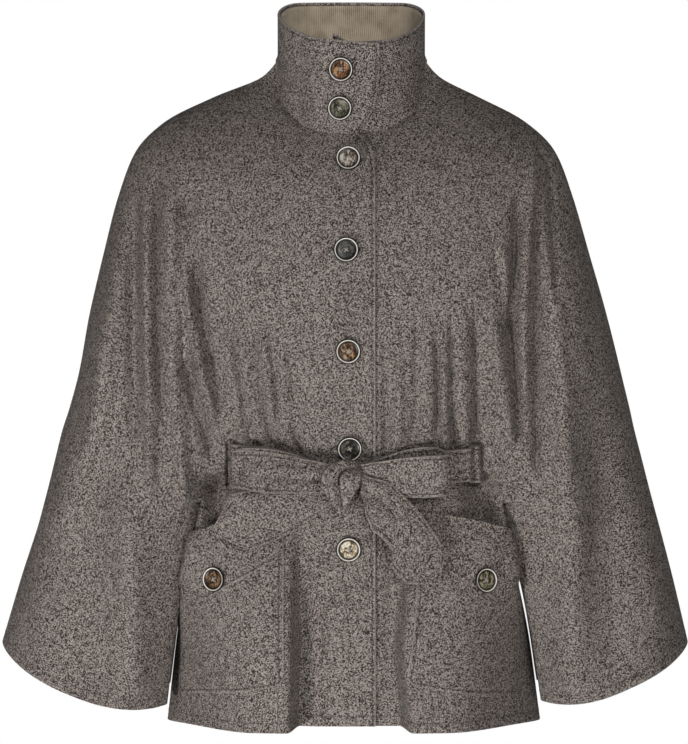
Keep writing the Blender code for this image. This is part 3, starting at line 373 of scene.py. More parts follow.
SECTIONS = table(
    "=row front_z arm_z back_z side_z arm_x side_x front_y back_y side_y wing_y wing_b fold_x fold_y"
    " side_sway arm_sway =full =lean =share",
    (0.0, -73, 0, 8, -25, 73.5, 50, 72, 62, 60, 60, 60, 60, 60, 2.4, 3.3, 2.0, 0.3, 0.62),
    (1.5, -84, -16, -9, -45, 89, 62, 80, 74, 70, 70, 70, 75, 65, 1.5, 3, 2.05, 1.1, 0.60),
    (3.0, -97, -37, -28, -65, 134.6, 80, 89, 85, 80, 80, 80, 95, 70, 0, -1.8, 2.15, 1.6, 0.57),
    (4.5, -112, -61, -51, -90, 181.4, 100, 99, 95, 90, 90, 90, 115, 80, 0, -3, 2.25, 1.9, 0.53),
    (6.0, -131, -90, -80, -118, 211, 118, 109, 103, 95, 97, 95, 130, 85, 0, -2.7, 2.35, 2.0, 0.50),
    (8.0, -168, -135, -128, -160, 229, 135, 120, 111, 104, 102, 98, 145, 95, 0, -2.6, 2.4, 1.9, 0.48),
    (10.0, -220, -193, -190, -215, 245.2, 145, 127, 117, 104, 103, 100, 156, 95, 0, -1.7, 2.5, 1.7, 0.47),
    (12.0, -278, -252, -255, -275, 260.9, 147, 127, 121, 88, 103, 101, 158, 90, 0, 0, 2.5, 1.5, 0.465),
    (14.0, -342, -317, -335, -342, 275.3, 147, 115, 125, 36, 102, 102, 148, 72, 2, 2.2, 2.5, 1.2, 0.46),
    (15.0, -374, -349, -374, -374, 283.8, 146, 110, 126, 0, 102, 102, 142, 64, 3, 1.7, 2.45, 1.0, 0.455),
    (16.5, -401, -377, -401, -404, 291.5, 147, 108, 127, 0, 102, 103, 144, 70, 3.5, 0.4, 2.4, 1.0, 0.45),
    (18.0, -428, -404, -428, -433, 298.4, 151, 108, 128, 0, 103, 105, 148, 74, 4, 0.6, 2.35, 1.0, 0.45),
    (21.0, -499, -459, -499, -492, 312.7, 164, 109, 133, 0, 105, 108, 165, 76, 3, 0.8, 2.3, 1.0, 0.45),
    (24.5, -579, -524, -582, -565, 332, 179.5, 110, 140, 0, 107, 112, 180, 72, 5, -1, 2.3, 1.0, 0.45),
    (28.0, -659, -590, -668, -640, 350, 190, 110, 148, 0, 108, 116, 191, 66, 6, -3, 2.3, 1.0, 0.45),
)
# Down to the slits the hollow between body and wing is shallow: there, at a filling of 1, these sizes hold.
FILLING = table("=row =fill", (10, 0), (13.5, 1), (18.2, 1), (UNDERARM_ROW, 0))
FILLED = {"side_y": 84 * MM, "fold_x": 162 * MM, "fold_y": 94 * MM}
FLUTE = {"top": -430 * MM, "full": -600 * MM, "height": 42 * MM, "wall": 12.5 * MM, "fade": (95 * MM, 185 * MM)}
FLUTE_FOOT = table("z right left", (-664, 50, 50.5), (-620, 49.5, 46.5), (-590, 48.5, 43.5), (-500, 48.5, 51),
                   (-430, 50, 53))
FRONT_EDGE = table("z x", (-120, 26.5), (-99, 25.5), (-88, 21.6), (-75, 9))
print("section rows:", len(SECTIONS["row"]))


# %% Curves through the tables
def smooth(value):
    value = np.clip(value, 0.0, 1.0)
    return value * value * (3 - 2 * value)


def read(columns, name, at, key="row"):
    """The named column at a place between its lines, on a curve that never overshoots them."""
    x, y = columns[key], columns[name]
    rise = np.diff(y) / np.diff(x)
    both = rise[:-1] + rise[1:]
    same_way = rise[:-1] * rise[1:] > 0
    middle = np.where(same_way, 2 * rise[:-1] * rise[1:] / np.where(same_way, both, 1), 0)
    slope = np.concatenate([[rise[0]], middle, [rise[-1]]])
    at = np.clip(at, x[0], x[-1])
    i = np.clip(np.searchsorted(x, at, "right") - 1, 0, len(x) - 2)
    width = x[i + 1] - x[i]
    t = (at - x[i]) / width
    start = (1 + 2 * t) * (1 - t) ** 2 * y[i] + t * (1 - t) ** 2 * width * slope[i]
    return start + t * t * (3 - 2 * t) * y[i + 1] + t * t * (t - 1) * width * slope[i + 1]


def lengths(path):
    """How far along a path each of its points is."""
    return np.concatenate([[0], np.cumsum(np.linalg.norm(np.diff(path, axis=0), axis=1))])


def along(path, shares, setback=0.0, measure=None):
    """Points at shares of a path's length, which stops short of its end by the setback. The length may be that of
    another path with as many points, the measure."""
    length = lengths(path if measure is None else measure)
    at = np.minimum(np.asarray(shares) * length[-1], length[-1] - setback)
    return np.stack([np.interp(at, length, path[:, axis]) for axis in range(3)], axis=1)


def curve(points, before, after, steps=14):
    """A smooth path through the points. before and after are the neighbours past its two ends."""
    p = np.array([before, *points, after], float)
    t = np.linspace(0, 1, steps, endpoint=False)[:, None]
    spans = []
    for a, b, c, d in zip(p, p[1:], p[2:], p[3:]):
        square, cube = 2 * a - 5 * b + 4 * c - d, 3 * b - a - 3 * c + d
        spans.append(b + 0.5 * ((c - a) * t + square * t**2 + cube * t**3))
    return np.concatenate([*spans, p[-2:-1]])


# %% Sections of the coat
ANGLES = np.linspace(0, math.pi / 2, 160)
LEAN_START = 0.12


def turned(cosine, lean):
    """How far the height has gone from the overarm seam's (0) to the centre line's (1)."""
    start = LEAN_START**lean
    return ((cosine + LEAN_START) ** lean - start) / ((1 + LEAN_START) ** lean - start)


def arc(half_width, depth, side_depth, facing, z_middle, z_end, full, lean):
    """A quarter of a section, from the centre line to the side. facing is -1 for the front, 1 for the back."""
    x = half_width * np.sin(ANGLES) ** (2 / full)
    y = facing * (side_depth + (depth - side_depth) * np.cos(ANGLES) ** (2 / full))
    z = z_end + (z_middle - z_end) * turned(np.cos(ANGLES), lean)
    return np.stack([x, y, z], axis=1)


@functools.lru_cache(None)
def sizes(row, filled=True):
    found = {name: float(read(SECTIONS, name, row)) for name in SECTIONS if name != "row"}
    share = float(read(FILLING, "fill", row)) if filled else 0.0
    for name, size in FILLED.items():
        found[name] += (size - found[name]) * share
    droop = SIDE_DROOP * float(smooth((row - WING_DROOP_START) / (HEM_ROW - WING_DROOP_START)))
    found["side_z_body"] = found["front_z"] - droop if row > UNDERARM_ROW else found["side_z"]
    return found


@functools.lru_cache(None)
def wing_path(row, facing, filled=True):
    """From the underarm seam round the wing's inner fold and crown to the overarm seam."""
    s = sizes(row, filled)
    start_x = s["side_x"] + FORK_GAP

    def ring(face):
        depth = s["wing_y"] if face < 0 else s["wing_b"]
        span = s["arm_x"] - s["fold_x"]
        fold = (s["fold_x"] + (0 if face < 0 else 4 * MM), face * s["fold_y"])
        crown = (s["fold_x"] + 0.36 * span, face * depth)
        outer = (s["fold_x"] + 0.80 * span, face * 0.72 * depth)
        return [fold, crown, outer]

    further, half_way = WING_INSIDE
    inside = (start_x + further, facing * (s["side_y"] + (s["fold_y"] - s["side_y"]) * half_way))
    flat = [(start_x, facing * s["side_y"]), inside, *ring(facing), (s["arm_x"], 0.0)]
    path = curve(flat, (inside[0], -inside[1]), ring(-facing)[2])
    share = np.clip((path[:, 0] - start_x) / (s["arm_x"] - start_x), 0, 1)
    return np.column_stack([path, s["side_z"] + (s["arm_z"] - s["side_z"]) * share**1.5])


@functools.lru_cache(None)
def body_path(row, facing, filled=True):
    """From the centre line round to the side seam."""
    s = sizes(row, filled)
    depth = s["front_y"] if facing < 0 else s["back_y"]
    middle_z = s["front_z"] if facing < 0 else s["back_z"]
    return arc(s["side_x"], depth, s["side_y"], facing, middle_z, s["side_z_body"], s["full"], 1.0)


@functools.lru_cache(None)
def whole_path(row, facing):
    """From the centre line over body and wing to the overarm seam."""
    s = sizes(row)
    depth = s["front_y"] if facing < 0 else s["back_y"]
    middle_z = s["front_z"] if facing < 0 else s["back_z"]
    return arc(s["arm_x"], depth, 0.0, facing, middle_z, s["arm_z"], s["full"], s["lean"])


@functools.lru_cache(None)
def forked(row):
    return float(smooth((row - FORK_START) / (FORK_FULL - FORK_START)))


@functools.lru_cache(None)
def path_length(row):
    """Length of the section that a body column's share of 1 stands for, near the centre line."""
    fork = forked(row)
    total = fork * lengths(body_path(row, -1, False))[-1]
    return total + (1 - fork) * lengths(whole_path(row, -1))[-1] * float(read(SECTIONS, "share", row))


def section(row, facing, body_at, wing_at):
    """Points of the body and of the wing at one row, on the side where x is positive. Their shares are measured as
    if the hollow between them were not filled, so that no line jumps where the filling ends."""
    body_at, wing_at = np.asarray(body_at, float), np.asarray(wing_at, float)
    fork = forked(row)
    body = wing = 0.0
    if fork > 0:
        s = sizes(row)
        setback = SEAM_SETBACK if row > UNDERARM_ROW else 0.0
        split_body = along(body_path(row, facing), np.abs(body_at), setback, body_path(row, facing, False))
        path, measure = wing_path(row, facing), wing_path(row, facing, False)
        split_wing = along(path[::-1], 1 - wing_at, setback, measure[::-1])
        split_wing = np.where((wing_at >= 1)[:, None], along(path, wing_at, SEAM_SETBACK, measure), split_wing)
        if row <= UNDERARM_ROW:
            hollow = (s["side_x"] + FORK_GAP / 2, facing * max(s["side_y"], FORK_SETBACK), s["side_z"])
            split_body[body_at >= 1] = hollow
            split_wing[wing_at <= 0] = hollow
        body = fork * split_body
        wing = fork * split_wing
    if fork < 1:
        share = read(SECTIONS, "share", row)
        path = whole_path(row, facing)
        body = body + (1 - fork) * along(path, share * np.abs(body_at))
        setback = SEAM_SETBACK + NECK_SETBACK * max(0.0, 1 - row / 2)
        wing = wing + (1 - fork) * along(path, share + (1 - share) * wing_at, setback)
    body[:, 0] *= np.where(body_at < 0, -1.0, 1.0)
    return body, wing


def sway(row, points):
    """How far the coat hangs to the wearer's left at these points."""
    s = sizes(row)
    return np.interp(np.abs(points[:, 0]), [0, s["side_x"], s["arm_x"]], [0, s["side_sway"], s["arm_sway"]])


def wing_droop(side, row, wing_at):
    grown = smooth((row - WING_DROOP_START) / (HEM_ROW - WING_DROOP_START))
    return WING_DROOP[side] * grown * np.sin(math.pi * np.asarray(wing_at))


print("the section at the underarm is", round(path_length(15.0) / MM), "mm from centre to side")

# %% [markdown]
# ## Folds
#
# Cloth that hangs from the shoulders and is pulled in by a belt folds in two ways: long soft folds down the wings,
# and short sharp gathers over the belt. A cloth simulation gives folds of its own choice. Here each fold has its place,
# so each is a ridge along a line, with a width and a height, and the skirt turns back sharply beside each pocket.

# %% Fold heights and rows of a front
FOLDS = table(
    "=side x_top z_top x_end z_end width height",
    (-1, 198, -88, 198, -450, 6, 6), (-1, 188, -88, 187, -370, 5, -6), (-1, 175, -92, 171, -300, 9, 7),
    (-1, 175, -262, 165, -450, 8, 6), (-1, 210, -125, 214, -390, 9, -8), (-1, 165, -190, 142, -325, 7, 7),
    (-1, 147, -285, 132, -374, 5, 6), (-1, 157, -115, 148, -250, 9, -7), (-1, 151, -215, 127, -350, 7, -7),
    (-1, 168, -280, 138, -400, 6, -8), (-1, 220, -150, 262, -420, 15, 7), (-1, 128, -366, 127, -434, 4, 2.5),
    (-1, 236, -220, 292, -480, 30, 9), (-1, 262, -300, 250, -640, 34, -8), (-1, 222, -400, 214, -640, 20, 7),
    (-1, 300, -420, 322, -570, 20, 4), (1, 190, -88, 175, -200, 6, 7), (1, 175, -165, 170, -400, 6, 7),
    (1, 203, -88, 204, -240, 5, -6), (1, 187, -115, 183, -430, 5, -7), (1, 195, -140, 214, -430, 13, 7),
    (1, 169, -115, 158, -285, 6, -7), (1, 158, -240, 168, -385, 6, -8), (1, 141, -235, 157, -392, 9, 7),
    (1, 124, -240, 125, -385, 4, -6), (1, 134, -366, 133, -434, 4, 2.5), (1, 222, -150, 214, -480, 26, 7),
    (1, 250, -300, 262, -640, 32, -8), (1, 224, -400, 214, -640, 20, 7), (1, 296, -420, 316, -570, 20, 4),
    (-1, 44, -440, 38, -560, 7, -2), (1, 40, -450, 38, -600, 7, -2),
)
FOLD_DEPTH = 1.45
# Gathers over the belt, and the hollows where they go in under it. Nothing that lies on the fronts follows them.
GATHERS = table(
    "=side x_top z_top x_end z_end width height",
    (-1, 122, -250, 105, -386, 5, 5), (-1, 108, -250, 88, -386, 5, 6), (-1, 87, -250, 71, -386, 5, 5.5),
    (-1, 67, -280, 58, -386, 4, 4), (-1, 115, -250, 98, -390, 3, -5), (-1, 94, -250, 78, -390, 3, -5.5),
    (-1, 77, -255, 66, -390, 3, -4), (-1, 55, -280, 50, -390, 5, -4), (1, 113, -230, 112, -386, 6, 5),
    (1, 101, -240, 101, -390, 3.5, -6), (1, 94, -265, 93, -386, 4, 5), (1, 86, -265, 87, -390, 3.5, -5.5),
    (1, 79, -250, 80, -386, 5, 5), (1, 67, -235, 66, -390, 5, -5), (1, 50, -290, 48, -386, 5, 5),
    (1, 37, -265, 37, -390, 5, -4), (-1, 99, -330, 90, -402, 5.5, -7), (-1, 82, -335, 70, -402, 5.5, -7),
    (-1, 63, -340, 47, -402, 5, -6), (-1, 118, -345, 112, -402, 5, -5), (1, 88, -330, 76, -402, 6, -7),
    (1, 64, -345, 58, -402, 5, -5), (1, 101, -330, 103, -402, 5, -7), (1, 124, -330, 120, -402, 6, -7),
    (1, 38, -350, 34, -402, 5, -4),
    (-1, 136, -406, 130, -476, 22, -29), (1, 128, -402, 128, -482, 22, -31), (-1, 122, -380, 118, -410, 8, -8),
    (1, 130, -372, 128, -408, 9, -10),
)


def fold_height(side, x, z, folds=FOLDS):
    """How far the folds of one side lift the cloth at x, z."""
    total = np.zeros_like(x)
    for s, x_top, z_top, x_end, z_end, width, height in zip(*folds.values()):
        if s != side:
            continue
        t = (z - z_top) / (z_end - z_top)
        fade = smooth(t / 0.25) * smooth((1 - t) / 0.13)
        total += height * fade * np.exp(-(((x - (x_top + (x_end - x_top) * t)) / width) ** 2) * 1.6)
    return total


def flute_depth(side, x, z):
    """How far the skirt stands forward over the pockets."""
    grown = smooth((FLUTE["top"] - z) / (FLUTE["top"] - FLUTE["full"]))
    start = read(FLUTE_FOOT, "right" if side < 0 else "left", z, "z")
    fade_start, fade_end = FLUTE["fade"]
    fall = 1 - smooth((x - fade_start) / (fade_end - fade_start))
    return FLUTE["height"] * grown * smooth((x - start) / FLUTE["wall"]) * fall


SKIRT_FILL = 84 * MM
SKIRT_FILL_ROWS = ((18.2, 18.7), (20.5, 25.5))
SKIRT_RETURN = 0.32


def fill_skirt(row, body, facing):
    """Below the fork the skirt goes on as full as the waist above it, and turns back only near its side seam."""
    (start, full), (wane, end) = SKIRT_FILL_ROWS
    if row <= start:
        return
    s = sizes(row)
    depth = s["front_y"] if facing < 0 else s["back_y"]
    way_back = np.clip((facing * body[:, 1] - s["side_y"]) / (depth - s["side_y"]), 0, 1)
    fill = SKIRT_FILL * (1 - smooth((row - wane) / (end - wane))) * smooth(way_back / SKIRT_RETURN)
    fill = np.maximum(fill, s["side_y"])
    body[:, 1] = facing * (fill + (depth - fill) * way_back)


BRIDGE_ROWS = ((8.5, 11.5), (18.1, 18.7))
BRIDGE = (26 * MM, 20 * MM)


def bridge(row, body, wing):
    """Cloth doesn't follow the groove between body and wing. Above the fork it spans it on a smooth curve."""
    (start, full), (wane, end) = BRIDGE_ROWS
    share = smooth((row - start) / (full - start)) * (1 - smooth((row - wane) / (end - wane)))
    if share == 0:
        return
    s = sizes(row)
    a, b = s["side_x"] - BRIDGE[0], s["fold_x"] + BRIDGE[1]
    near, far = (line[line[:, 0] > 0] for line in (body, wing))
    (y_a, y_a2), (y_b, y_b2) = (np.interp(x, line[:, 0], line[:, 1]) for x, line in
                                (((a - 5 * MM, a), near), ((b, b + 5 * MM), far)))
    rise_a, rise_b = (y_a2 - y_a) / (5 * MM) * (b - a), (y_b2 - y_b) / (5 * MM) * (b - a)
    for line in (body, wing):
        t = (line[:, 0] - a) / (b - a)
        inside = (t > 0) & (t < 1)
        u = t[inside]
        span = ((1 + 2 * u) * (1 - u) ** 2 * y_a2 + u * (1 - u) ** 2 * rise_a
                + u * u * (3 - 2 * u) * y_b + u * u * (u - 1) * rise_b)
        line[inside, 1] += (span - line[inside, 1]) * share


# The belt pulls the cloth in. Under the belt itself, and for all that lies on it, the pull is less.
PINCH = 9 * MM
PINCH_UNDER = 3 * MM
PINCH_SIDES = 9 * MM
PINCH_Z = -408 * MM
PINCH_REACH = 30 * MM
PINCH_END = (122 * MM, 168 * MM)
EDGE_CURL = 1.1 * MM
EDGE_CURL_REACH = 5 * MM


def front_row(side, row, body_at, wing_at, fluted=True, gathered=True):
    """One row of a front. side is -1 for the wearer's right, which lies on top and curls up a little at its edge.
    Folds stand forward, not outward, so that body and wing stay joined where they meet."""
    body, wing = section(row, -1, body_at, wing_at)
    fill_skirt(row, body, -1)
    bridge(row, body, wing)
    for points in (body, wing):
        x, z = points[:, 0].copy(), points[:, 2].copy()
        pull = (PINCH if gathered else PINCH_UNDER) + PINCH_SIDES * smooth((x - 70 * MM) / (60 * MM))
        pull = pull * np.exp(-(((z - PINCH_Z) / PINCH_REACH) ** 2))
        pull *= 1 - smooth((x - PINCH_END[0]) / (PINCH_END[1] - PINCH_END[0]))
        rise = fold_height(side, x, z) * FOLD_DEPTH - pull
        if gathered:
            rise += fold_height(side, x, z, GATHERS)
        rise *= smooth(-points[:, 1] / SEAM_CALM)
        if points is body and side < 0:
            lifted = np.interp(row, [0, 6], [NECK_LAP_LIFT, LAP_LIFT])
            rise += lifted * (1 - smooth((x - LAP_END) / LAP_RAMP))
            from_edge = x + float(read(FRONT_EDGE, "x", read(SECTIONS, "front_z", row), "z"))
            rise += EDGE_CURL * np.exp(-np.maximum(from_edge, 0) / EDGE_CURL_REACH)
        points[:, 1] -= rise
    if fluted:
        calm = smooth(-body[:, 1] / SEAM_CALM)
        body[:, 1] -= flute_depth(side, body[:, 0], body[:, 2]) * calm
    wing[:, 2] -= wing_droop(side, row, wing_at)
    for points in (body, wing):
        points[:, 0] = side * points[:, 0] + sway(row, points)
    return body, wing


def back_row(row, body_at, wing_at):
    """One row of the back: the right wing, the body and the left wing."""
    body, wing = section(row, 1, body_at, wing_at)
    fill_skirt(row, body, 1)
    lines = [wing[::-1] * (-1, 1, 1), np.concatenate([body[:0:-1] * (-1, 1, 1), body]), wing.copy()]
    lines[0][:, 2] -= wing_droop(-1, row, wing_at[::-1])
    lines[2][:, 2] -= wing_droop(1, row, wing_at)
    for points in lines:
        points[:, 1] += back_folds(points[:, 0], points[:, 2]) * smooth(points[:, 1] / SEAM_CALM)
        points[:, 0] += sway(row, points)
    return lines


BACK_FOLDS = table("x_top z_top x_end z_end width height", (-60, -330, -84, -668, 20, 5), (4, -300, 10, -668, 24, 4),
                   (70, -330, 92, -668, 20, 5), (-28, -420, -34, -668, 14, -3), (38, -420, 46, -668, 14, -3),
                   (-170, -200, -190, -500, 24, 4), (176, -200, 196, -500, 24, 4), (-230, -300, -270, -590, 30, 5),
                   (232, -300, 272, -590, 30, 5))


def back_folds(x, z):
    total = np.zeros_like(x)
    for x_top, z_top, x_end, z_end, width, height in zip(*BACK_FOLDS.values()):
        t = (z - z_top) / (z_end - z_top)
        total += height * smooth(t / 0.5) * np.exp(-(((x - (x_top + (x_end - x_top) * t)) / width) ** 2) * 1.6)
    return total


# %% [markdown]
# ## Sheets of cloth
#
# Every sheet is a grid of points: rows down it, columns across it. The class Cloth collects the grids, with their map
# in metres for the weave and the distances to the sewn edge and to the hem for the stitch grooves. The wall comes from
# Solidify, half on each side, and a small Bevel rounds the cut edges, as the turned edge of thick wool is round.


# %% Cloth
class Cloth:
    def __init__(self):
        self.points, self.map, self.edge, self.hem, self.faces = [], [], [], [], []
        self.count = 0

    def add(self, points, across, down, edge=1.0, hem=1.0):
        """Adds a grid of points and returns its numbers. across and down are its map in metres."""
        shape = points.shape[:2]
        self.points.append(points.reshape(-1, 3))
        self.map.append(np.stack([np.broadcast_to(across, shape), np.broadcast_to(down, shape)], axis=-1).reshape(-1, 2))
        self.edge.append(np.broadcast_to(edge, shape).ravel())
        self.hem.append(np.broadcast_to(hem, shape).ravel())
        index = np.arange(shape[0] * shape[1]).reshape(shape) + self.count
        self.count += index.size
        return index

    def fill(self, index, keep=None):
        """Faces between the points of a grid, apart from those where keep is False."""
        faces = np.stack([index[:-1, :-1], index[1:, :-1], index[1:, 1:], index[:-1, 1:]], axis=-1)
        self.faces.append(faces[keep] if keep is not None else faces.reshape(-1, 4))

    def make(self, name, thickness, finish, rounding=0.75 * MM):
        """The object, with its wall and rounded edges."""
        mesh = bpy.data.meshes.new(name + "_cloth")
        mesh.from_pydata(np.concatenate(self.points).tolist(), [], np.concatenate(self.faces).tolist())
        corner = np.zeros(len(mesh.loops), np.int32)
        mesh.loops.foreach_get("vertex_index", corner)
        mesh.uv_layers.new(name="cloth").data.foreach_set("uv", np.concatenate(self.map)[corner].ravel())
        for key, values in (("edge", self.edge), ("hem", self.hem)):
            mesh.attributes.new(key, "FLOAT", "POINT").data.foreach_set("value", np.concatenate(values))
        mesh.materials.append(finish)
        mesh.shade_smooth()
        piece = bpy.data.objects.new(name + "_cloth", mesh)
        bpy.context.scene.collection.objects.link(piece)
        if thickness:
            wall = piece.modifiers.new("wall", "SOLIDIFY")
            wall.thickness = thickness
            wall.offset = 0.0
            wall.use_quality_normals = True
            if rounding:
                edge = piece.modifiers.new("rounded edge", "BEVEL")
                edge.width = rounding
                edge.segments = 2
                edge.limit_method = "ANGLE"
                edge.angle_limit = math.radians(55)
            bake(piece)
        return piece


def bake(piece):
    """Replaces the piece's mesh by what its modifiers make of it."""
    graph = bpy.context.evaluated_depsgraph_get()
    mesh = bpy.data.meshes.new_from_object(piece.evaluated_get(graph))
    piece.modifiers.clear()
    piece.data = mesh
    return piece


def across_rows(points):
    """Distance along each row of a grid from its first column."""
    steps = np.linalg.norm(np.diff(points, axis=1), axis=2)
    return np.concatenate([np.zeros((len(points), 1)), np.cumsum(steps, axis=1)], axis=1)


def down_columns(points):
    return across_rows(points.transpose(1, 0, 2)).T


SEAMS = []


def seam_line(points, facing, inset):
    """A line of stitches across a grid, this far up from its last row and on its outer face."""
    down = down_columns(points)
    normal = np.cross(np.gradient(points, axis=1), np.gradient(points, axis=0)) * facing
    normal /= np.linalg.norm(normal, axis=-1, keepdims=True) + 1e-12
    outer = points + normal * (CLOTH / 2 + THREAD_RISE)
    line = []
    for column in range(points.shape[1]):
        at = down[-1, column] - inset
        line.append([np.interp(at, down[:, column], outer[:, column, axis]) for axis in range(3)])
    return np.array(line)


def cut_size(points):
    """Width, length and area of a grid laid flat, in metres."""
    a, b = points[1:, 1:] - points[:-1, :-1], points[1:, :-1] - points[:-1, 1:]
    area = np.linalg.norm(np.cross(a, b), axis=2).sum() / 2
    return across_rows(points)[:, -1].max(), down_columns(points)[-1].max(), area


def wear(piece, slot, *nodes, **cut):
    """Hangs a finished piece on the frame. cut says what flat cloth it was; it is not used."""
    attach(piece, "root")
    if nodes:
        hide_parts(*nodes)
    print(piece.name, len(piece.data.vertices), "points")


# %% [markdown]
# ## The fronts
#
# A front is one piece of cloth from its centre edge to the seam over the arm. Down to the underarm, body and wing are
# one grid. Below it they part into two grids that share the row at the fork. The belt's slit is left out of the body.

# %% Fronts
SLIT_ENDS = [row for rows in SLIT_ROWS.values() for row in rows]
FINE_ROWS = np.unique(np.round([*np.arange(0, 28, 0.25), 27.85, 28.0, *SLIT_ENDS, 18.1, 18.35, UNDERARM_ROW], 3))
LAP_PLACES = np.array([0, 0.04, 0.08, 0.12, 0.16, 0.21, 0.28, 0.38, 0.52, 0.75])
BODY_PLACES = np.unique(np.round(np.concatenate([np.linspace(0, 1, 121), SLIT_SHARES]), 4))
WING_PLACES = np.linspace(0, 1, 125)


def front_edge(side, row):
    edge = float(read(FRONT_EDGE, "x", read(SECTIONS, "front_z", row), "z")) if side < 0 else LAP
    return edge / path_length(row)


def front(name, side):
    cloth = Cloth()
    body, wing = [], []
    for row in FINE_ROWS:
        edge = front_edge(side, row)
        rows = front_row(side, row, np.concatenate([-edge * (1 - LAP_PLACES), BODY_PLACES]), WING_PLACES)
        body.append(rows[0])
        wing.append(rows[1])
    body, wing = np.array(body), np.array(wing)
    upper = FINE_ROWS <= UNDERARM_ROW
    wing[upper, 0] = body[upper, -1]
    down = lengths(body[:, len(LAP_PLACES)])[:, None]
    from_edge = across_rows(body)
    first, last = (len(LAP_PLACES) + np.searchsorted(BODY_PLACES, share - 1e-6) for share in SLIT_SHARES)
    top, foot = (np.searchsorted(FINE_ROWS, row - 1e-6) for row in SLIT_ROWS[side])
    beside = np.maximum(from_edge[:, first : first + 1] - from_edge, from_edge - from_edge[:, last : last + 1])
    above = np.maximum(down[top] - down, down - down[foot])
    from_slit = np.hypot(np.maximum(beside, 0), np.maximum(above, 0))
    edge = np.minimum(from_edge, from_slit)
    body_index = cloth.add(body, from_edge, down, edge, down_columns(body)[-1] - down_columns(body))
    far = from_edge[:, -1:]
    wing_index = cloth.add(wing, far + across_rows(wing), down, 1.0, down_columns(wing)[-1] - down_columns(wing))
    joined = wing_index.copy()
    joined[upper, 0] = body_index[upper, -1]
    shares, rows = BODY_PLACES[:-1], FINE_ROWS[:-1]
    in_slit = (shares >= SLIT_SHARES[0] - 1e-6) & (shares < SLIT_SHARES[1] - 1e-6)
    beside_slit = (rows >= SLIT_ROWS[side][0]) & (rows < SLIT_ROWS[side][1])
    keep = np.ones((len(rows), body.shape[1] - 1), bool)
    keep[np.ix_(beside_slit, np.concatenate([np.zeros(len(LAP_PLACES), bool), in_slit]))] = False
    cloth.fill(body_index, keep)
    cloth.fill(joined)
    SEAMS.extend(seam_line(part, -side, HEM_DEPTH) for part in (body, wing))
    width, length, _ = cut_size(np.concatenate([body, wing[:, 1:]], axis=1))
    return cloth.make(name, CLOTH, WOOL), (width, length), cut_size(body)[2] + cut_size(wing)[2]


for name, side in (("front_right", -1), ("front_left", 1)):
    piece, flat, area = front(name, side)
    print(name, "flat", [round(x, 3) for x in flat], "area", round(area, 4))
    wear(piece, "wool", name, flat=flat, held="hung", rests_on=["collar"], area=area)

# %% [markdown]
# ## The back
#
# The back is one grid over both wings and the body down to the underarm, and three grids below it. Nobody sees the
# real one's back here, so it gets only the few long folds that a belt pulled in behind would give it.

# %% Back
BACK_PLACES = np.linspace(0, 1, 61)


def back(name):
    cloth = Cloth()
    lines = [back_row(row, BACK_PLACES, WING_PLACES) for row in FINE_ROWS]
    right, body, left = (np.array([line[part] for line in lines]) for part in range(3))
    upper = FINE_ROWS <= UNDERARM_ROW
    body[upper, 0], body[upper, -1] = right[upper, -1], left[upper, 0]
    down = lengths(body[:, body.shape[1] // 2])[:, None]
    start, made = 0.0, []
    for part in (right, body, left):
        across = across_rows(part)
        hem = down_columns(part)
        made.append(cloth.add(part, start + across, down, 1.0, hem[-1] - hem))
        start = start + across[:, -1:]
    made[1][upper, 0], made[1][upper, -1] = made[0][upper, -1], made[2][upper, 0]
    for index in made:
        cloth.fill(index)
    SEAMS.extend(seam_line(part, 1, HEM_DEPTH) for part in (right, body, left))
    width, length, _ = cut_size(np.concatenate([right, body[:, 1:], left[:, 1:]], axis=1))
    return cloth.make(name, CLOTH, WOOL), (width, length), sum(cut_size(part)[2] for part in (right, body, left))


piece, flat, area = back("back")
print("back flat", [round(x, 3) for x in flat], "area", round(area, 4))
wear(piece, "wool", "back", flat=flat, held="hung", rests_on=["collar"], area=area)

# %% [markdown]
# ## Laying things on the fronts
#
# Pockets, flaps, belt, bow and buttons lie on the fronts, so each of their points is a point of the front moved out.
# The fronts are sampled once at level heights, and lift() reads that grid: share is how far round to the side a point
# is, z its height, and height how far it lies over the cloth's middle. A Shrinkwrap modifier would do nearly the same,
# but it would press on the gathers and pull every piece into them. Here the direction outward is read over a wider
# step, so that it turns slowly.

# %% The fronts as a grid to read
PROBE = np.linspace(-0.16, 1, 233)
LEVELS = np.arange(-692, -66, 1.5) * MM
NORMAL_STEP = 6 * MM
SHARE_STEP = 0.03


def level_grid(side, fluted):
    lines = np.array([front_row(side, row, PROBE, WING_PLACES, fluted, gathered=False)[0] for row in FINE_ROWS])
    grid = np.empty((len(LEVELS), len(PROBE), 2))
    for column in range(len(PROBE)):
        for axis in (0, 1):
            grid[:, column, axis] = np.interp(-LEVELS, -lines[:, column, 2], lines[:, column, axis])
    return grid


FRONTS = {side: level_grid(side, True) for side in (-1, 1)}
PLAIN_FRONTS = {side: level_grid(side, False) for side in (-1, 1)}


def front_at(side, share, z, fronts):
    """Points of a front's middle layer. Under the lap's edge the left one comes up to the right one gently."""
    share, z = np.broadcast_arrays(share, z)
    column = np.clip((share - PROBE[0]) / (PROBE[1] - PROBE[0]), 0, len(PROBE) - 1.001)
    line = np.clip((z - LEVELS[0]) / (LEVELS[1] - LEVELS[0]), 0, len(LEVELS) - 1.001)
    c, k = column.astype(int), line.astype(int)
    s, t = (column - c)[..., None], (line - k)[..., None]
    grid = fronts[side]
    flat = (grid[k, c] * (1 - s) + grid[k, c + 1] * s) * (1 - t) + (grid[k + 1, c] * (1 - s) + grid[k + 1, c + 1] * s) * t
    if side > 0:
        flat[..., 1] -= LAP_LIFT * (1 - smooth((flat[..., 0] - LAP) / LAP_RAMP))
    return np.concatenate([flat, z[..., None]], axis=-1)


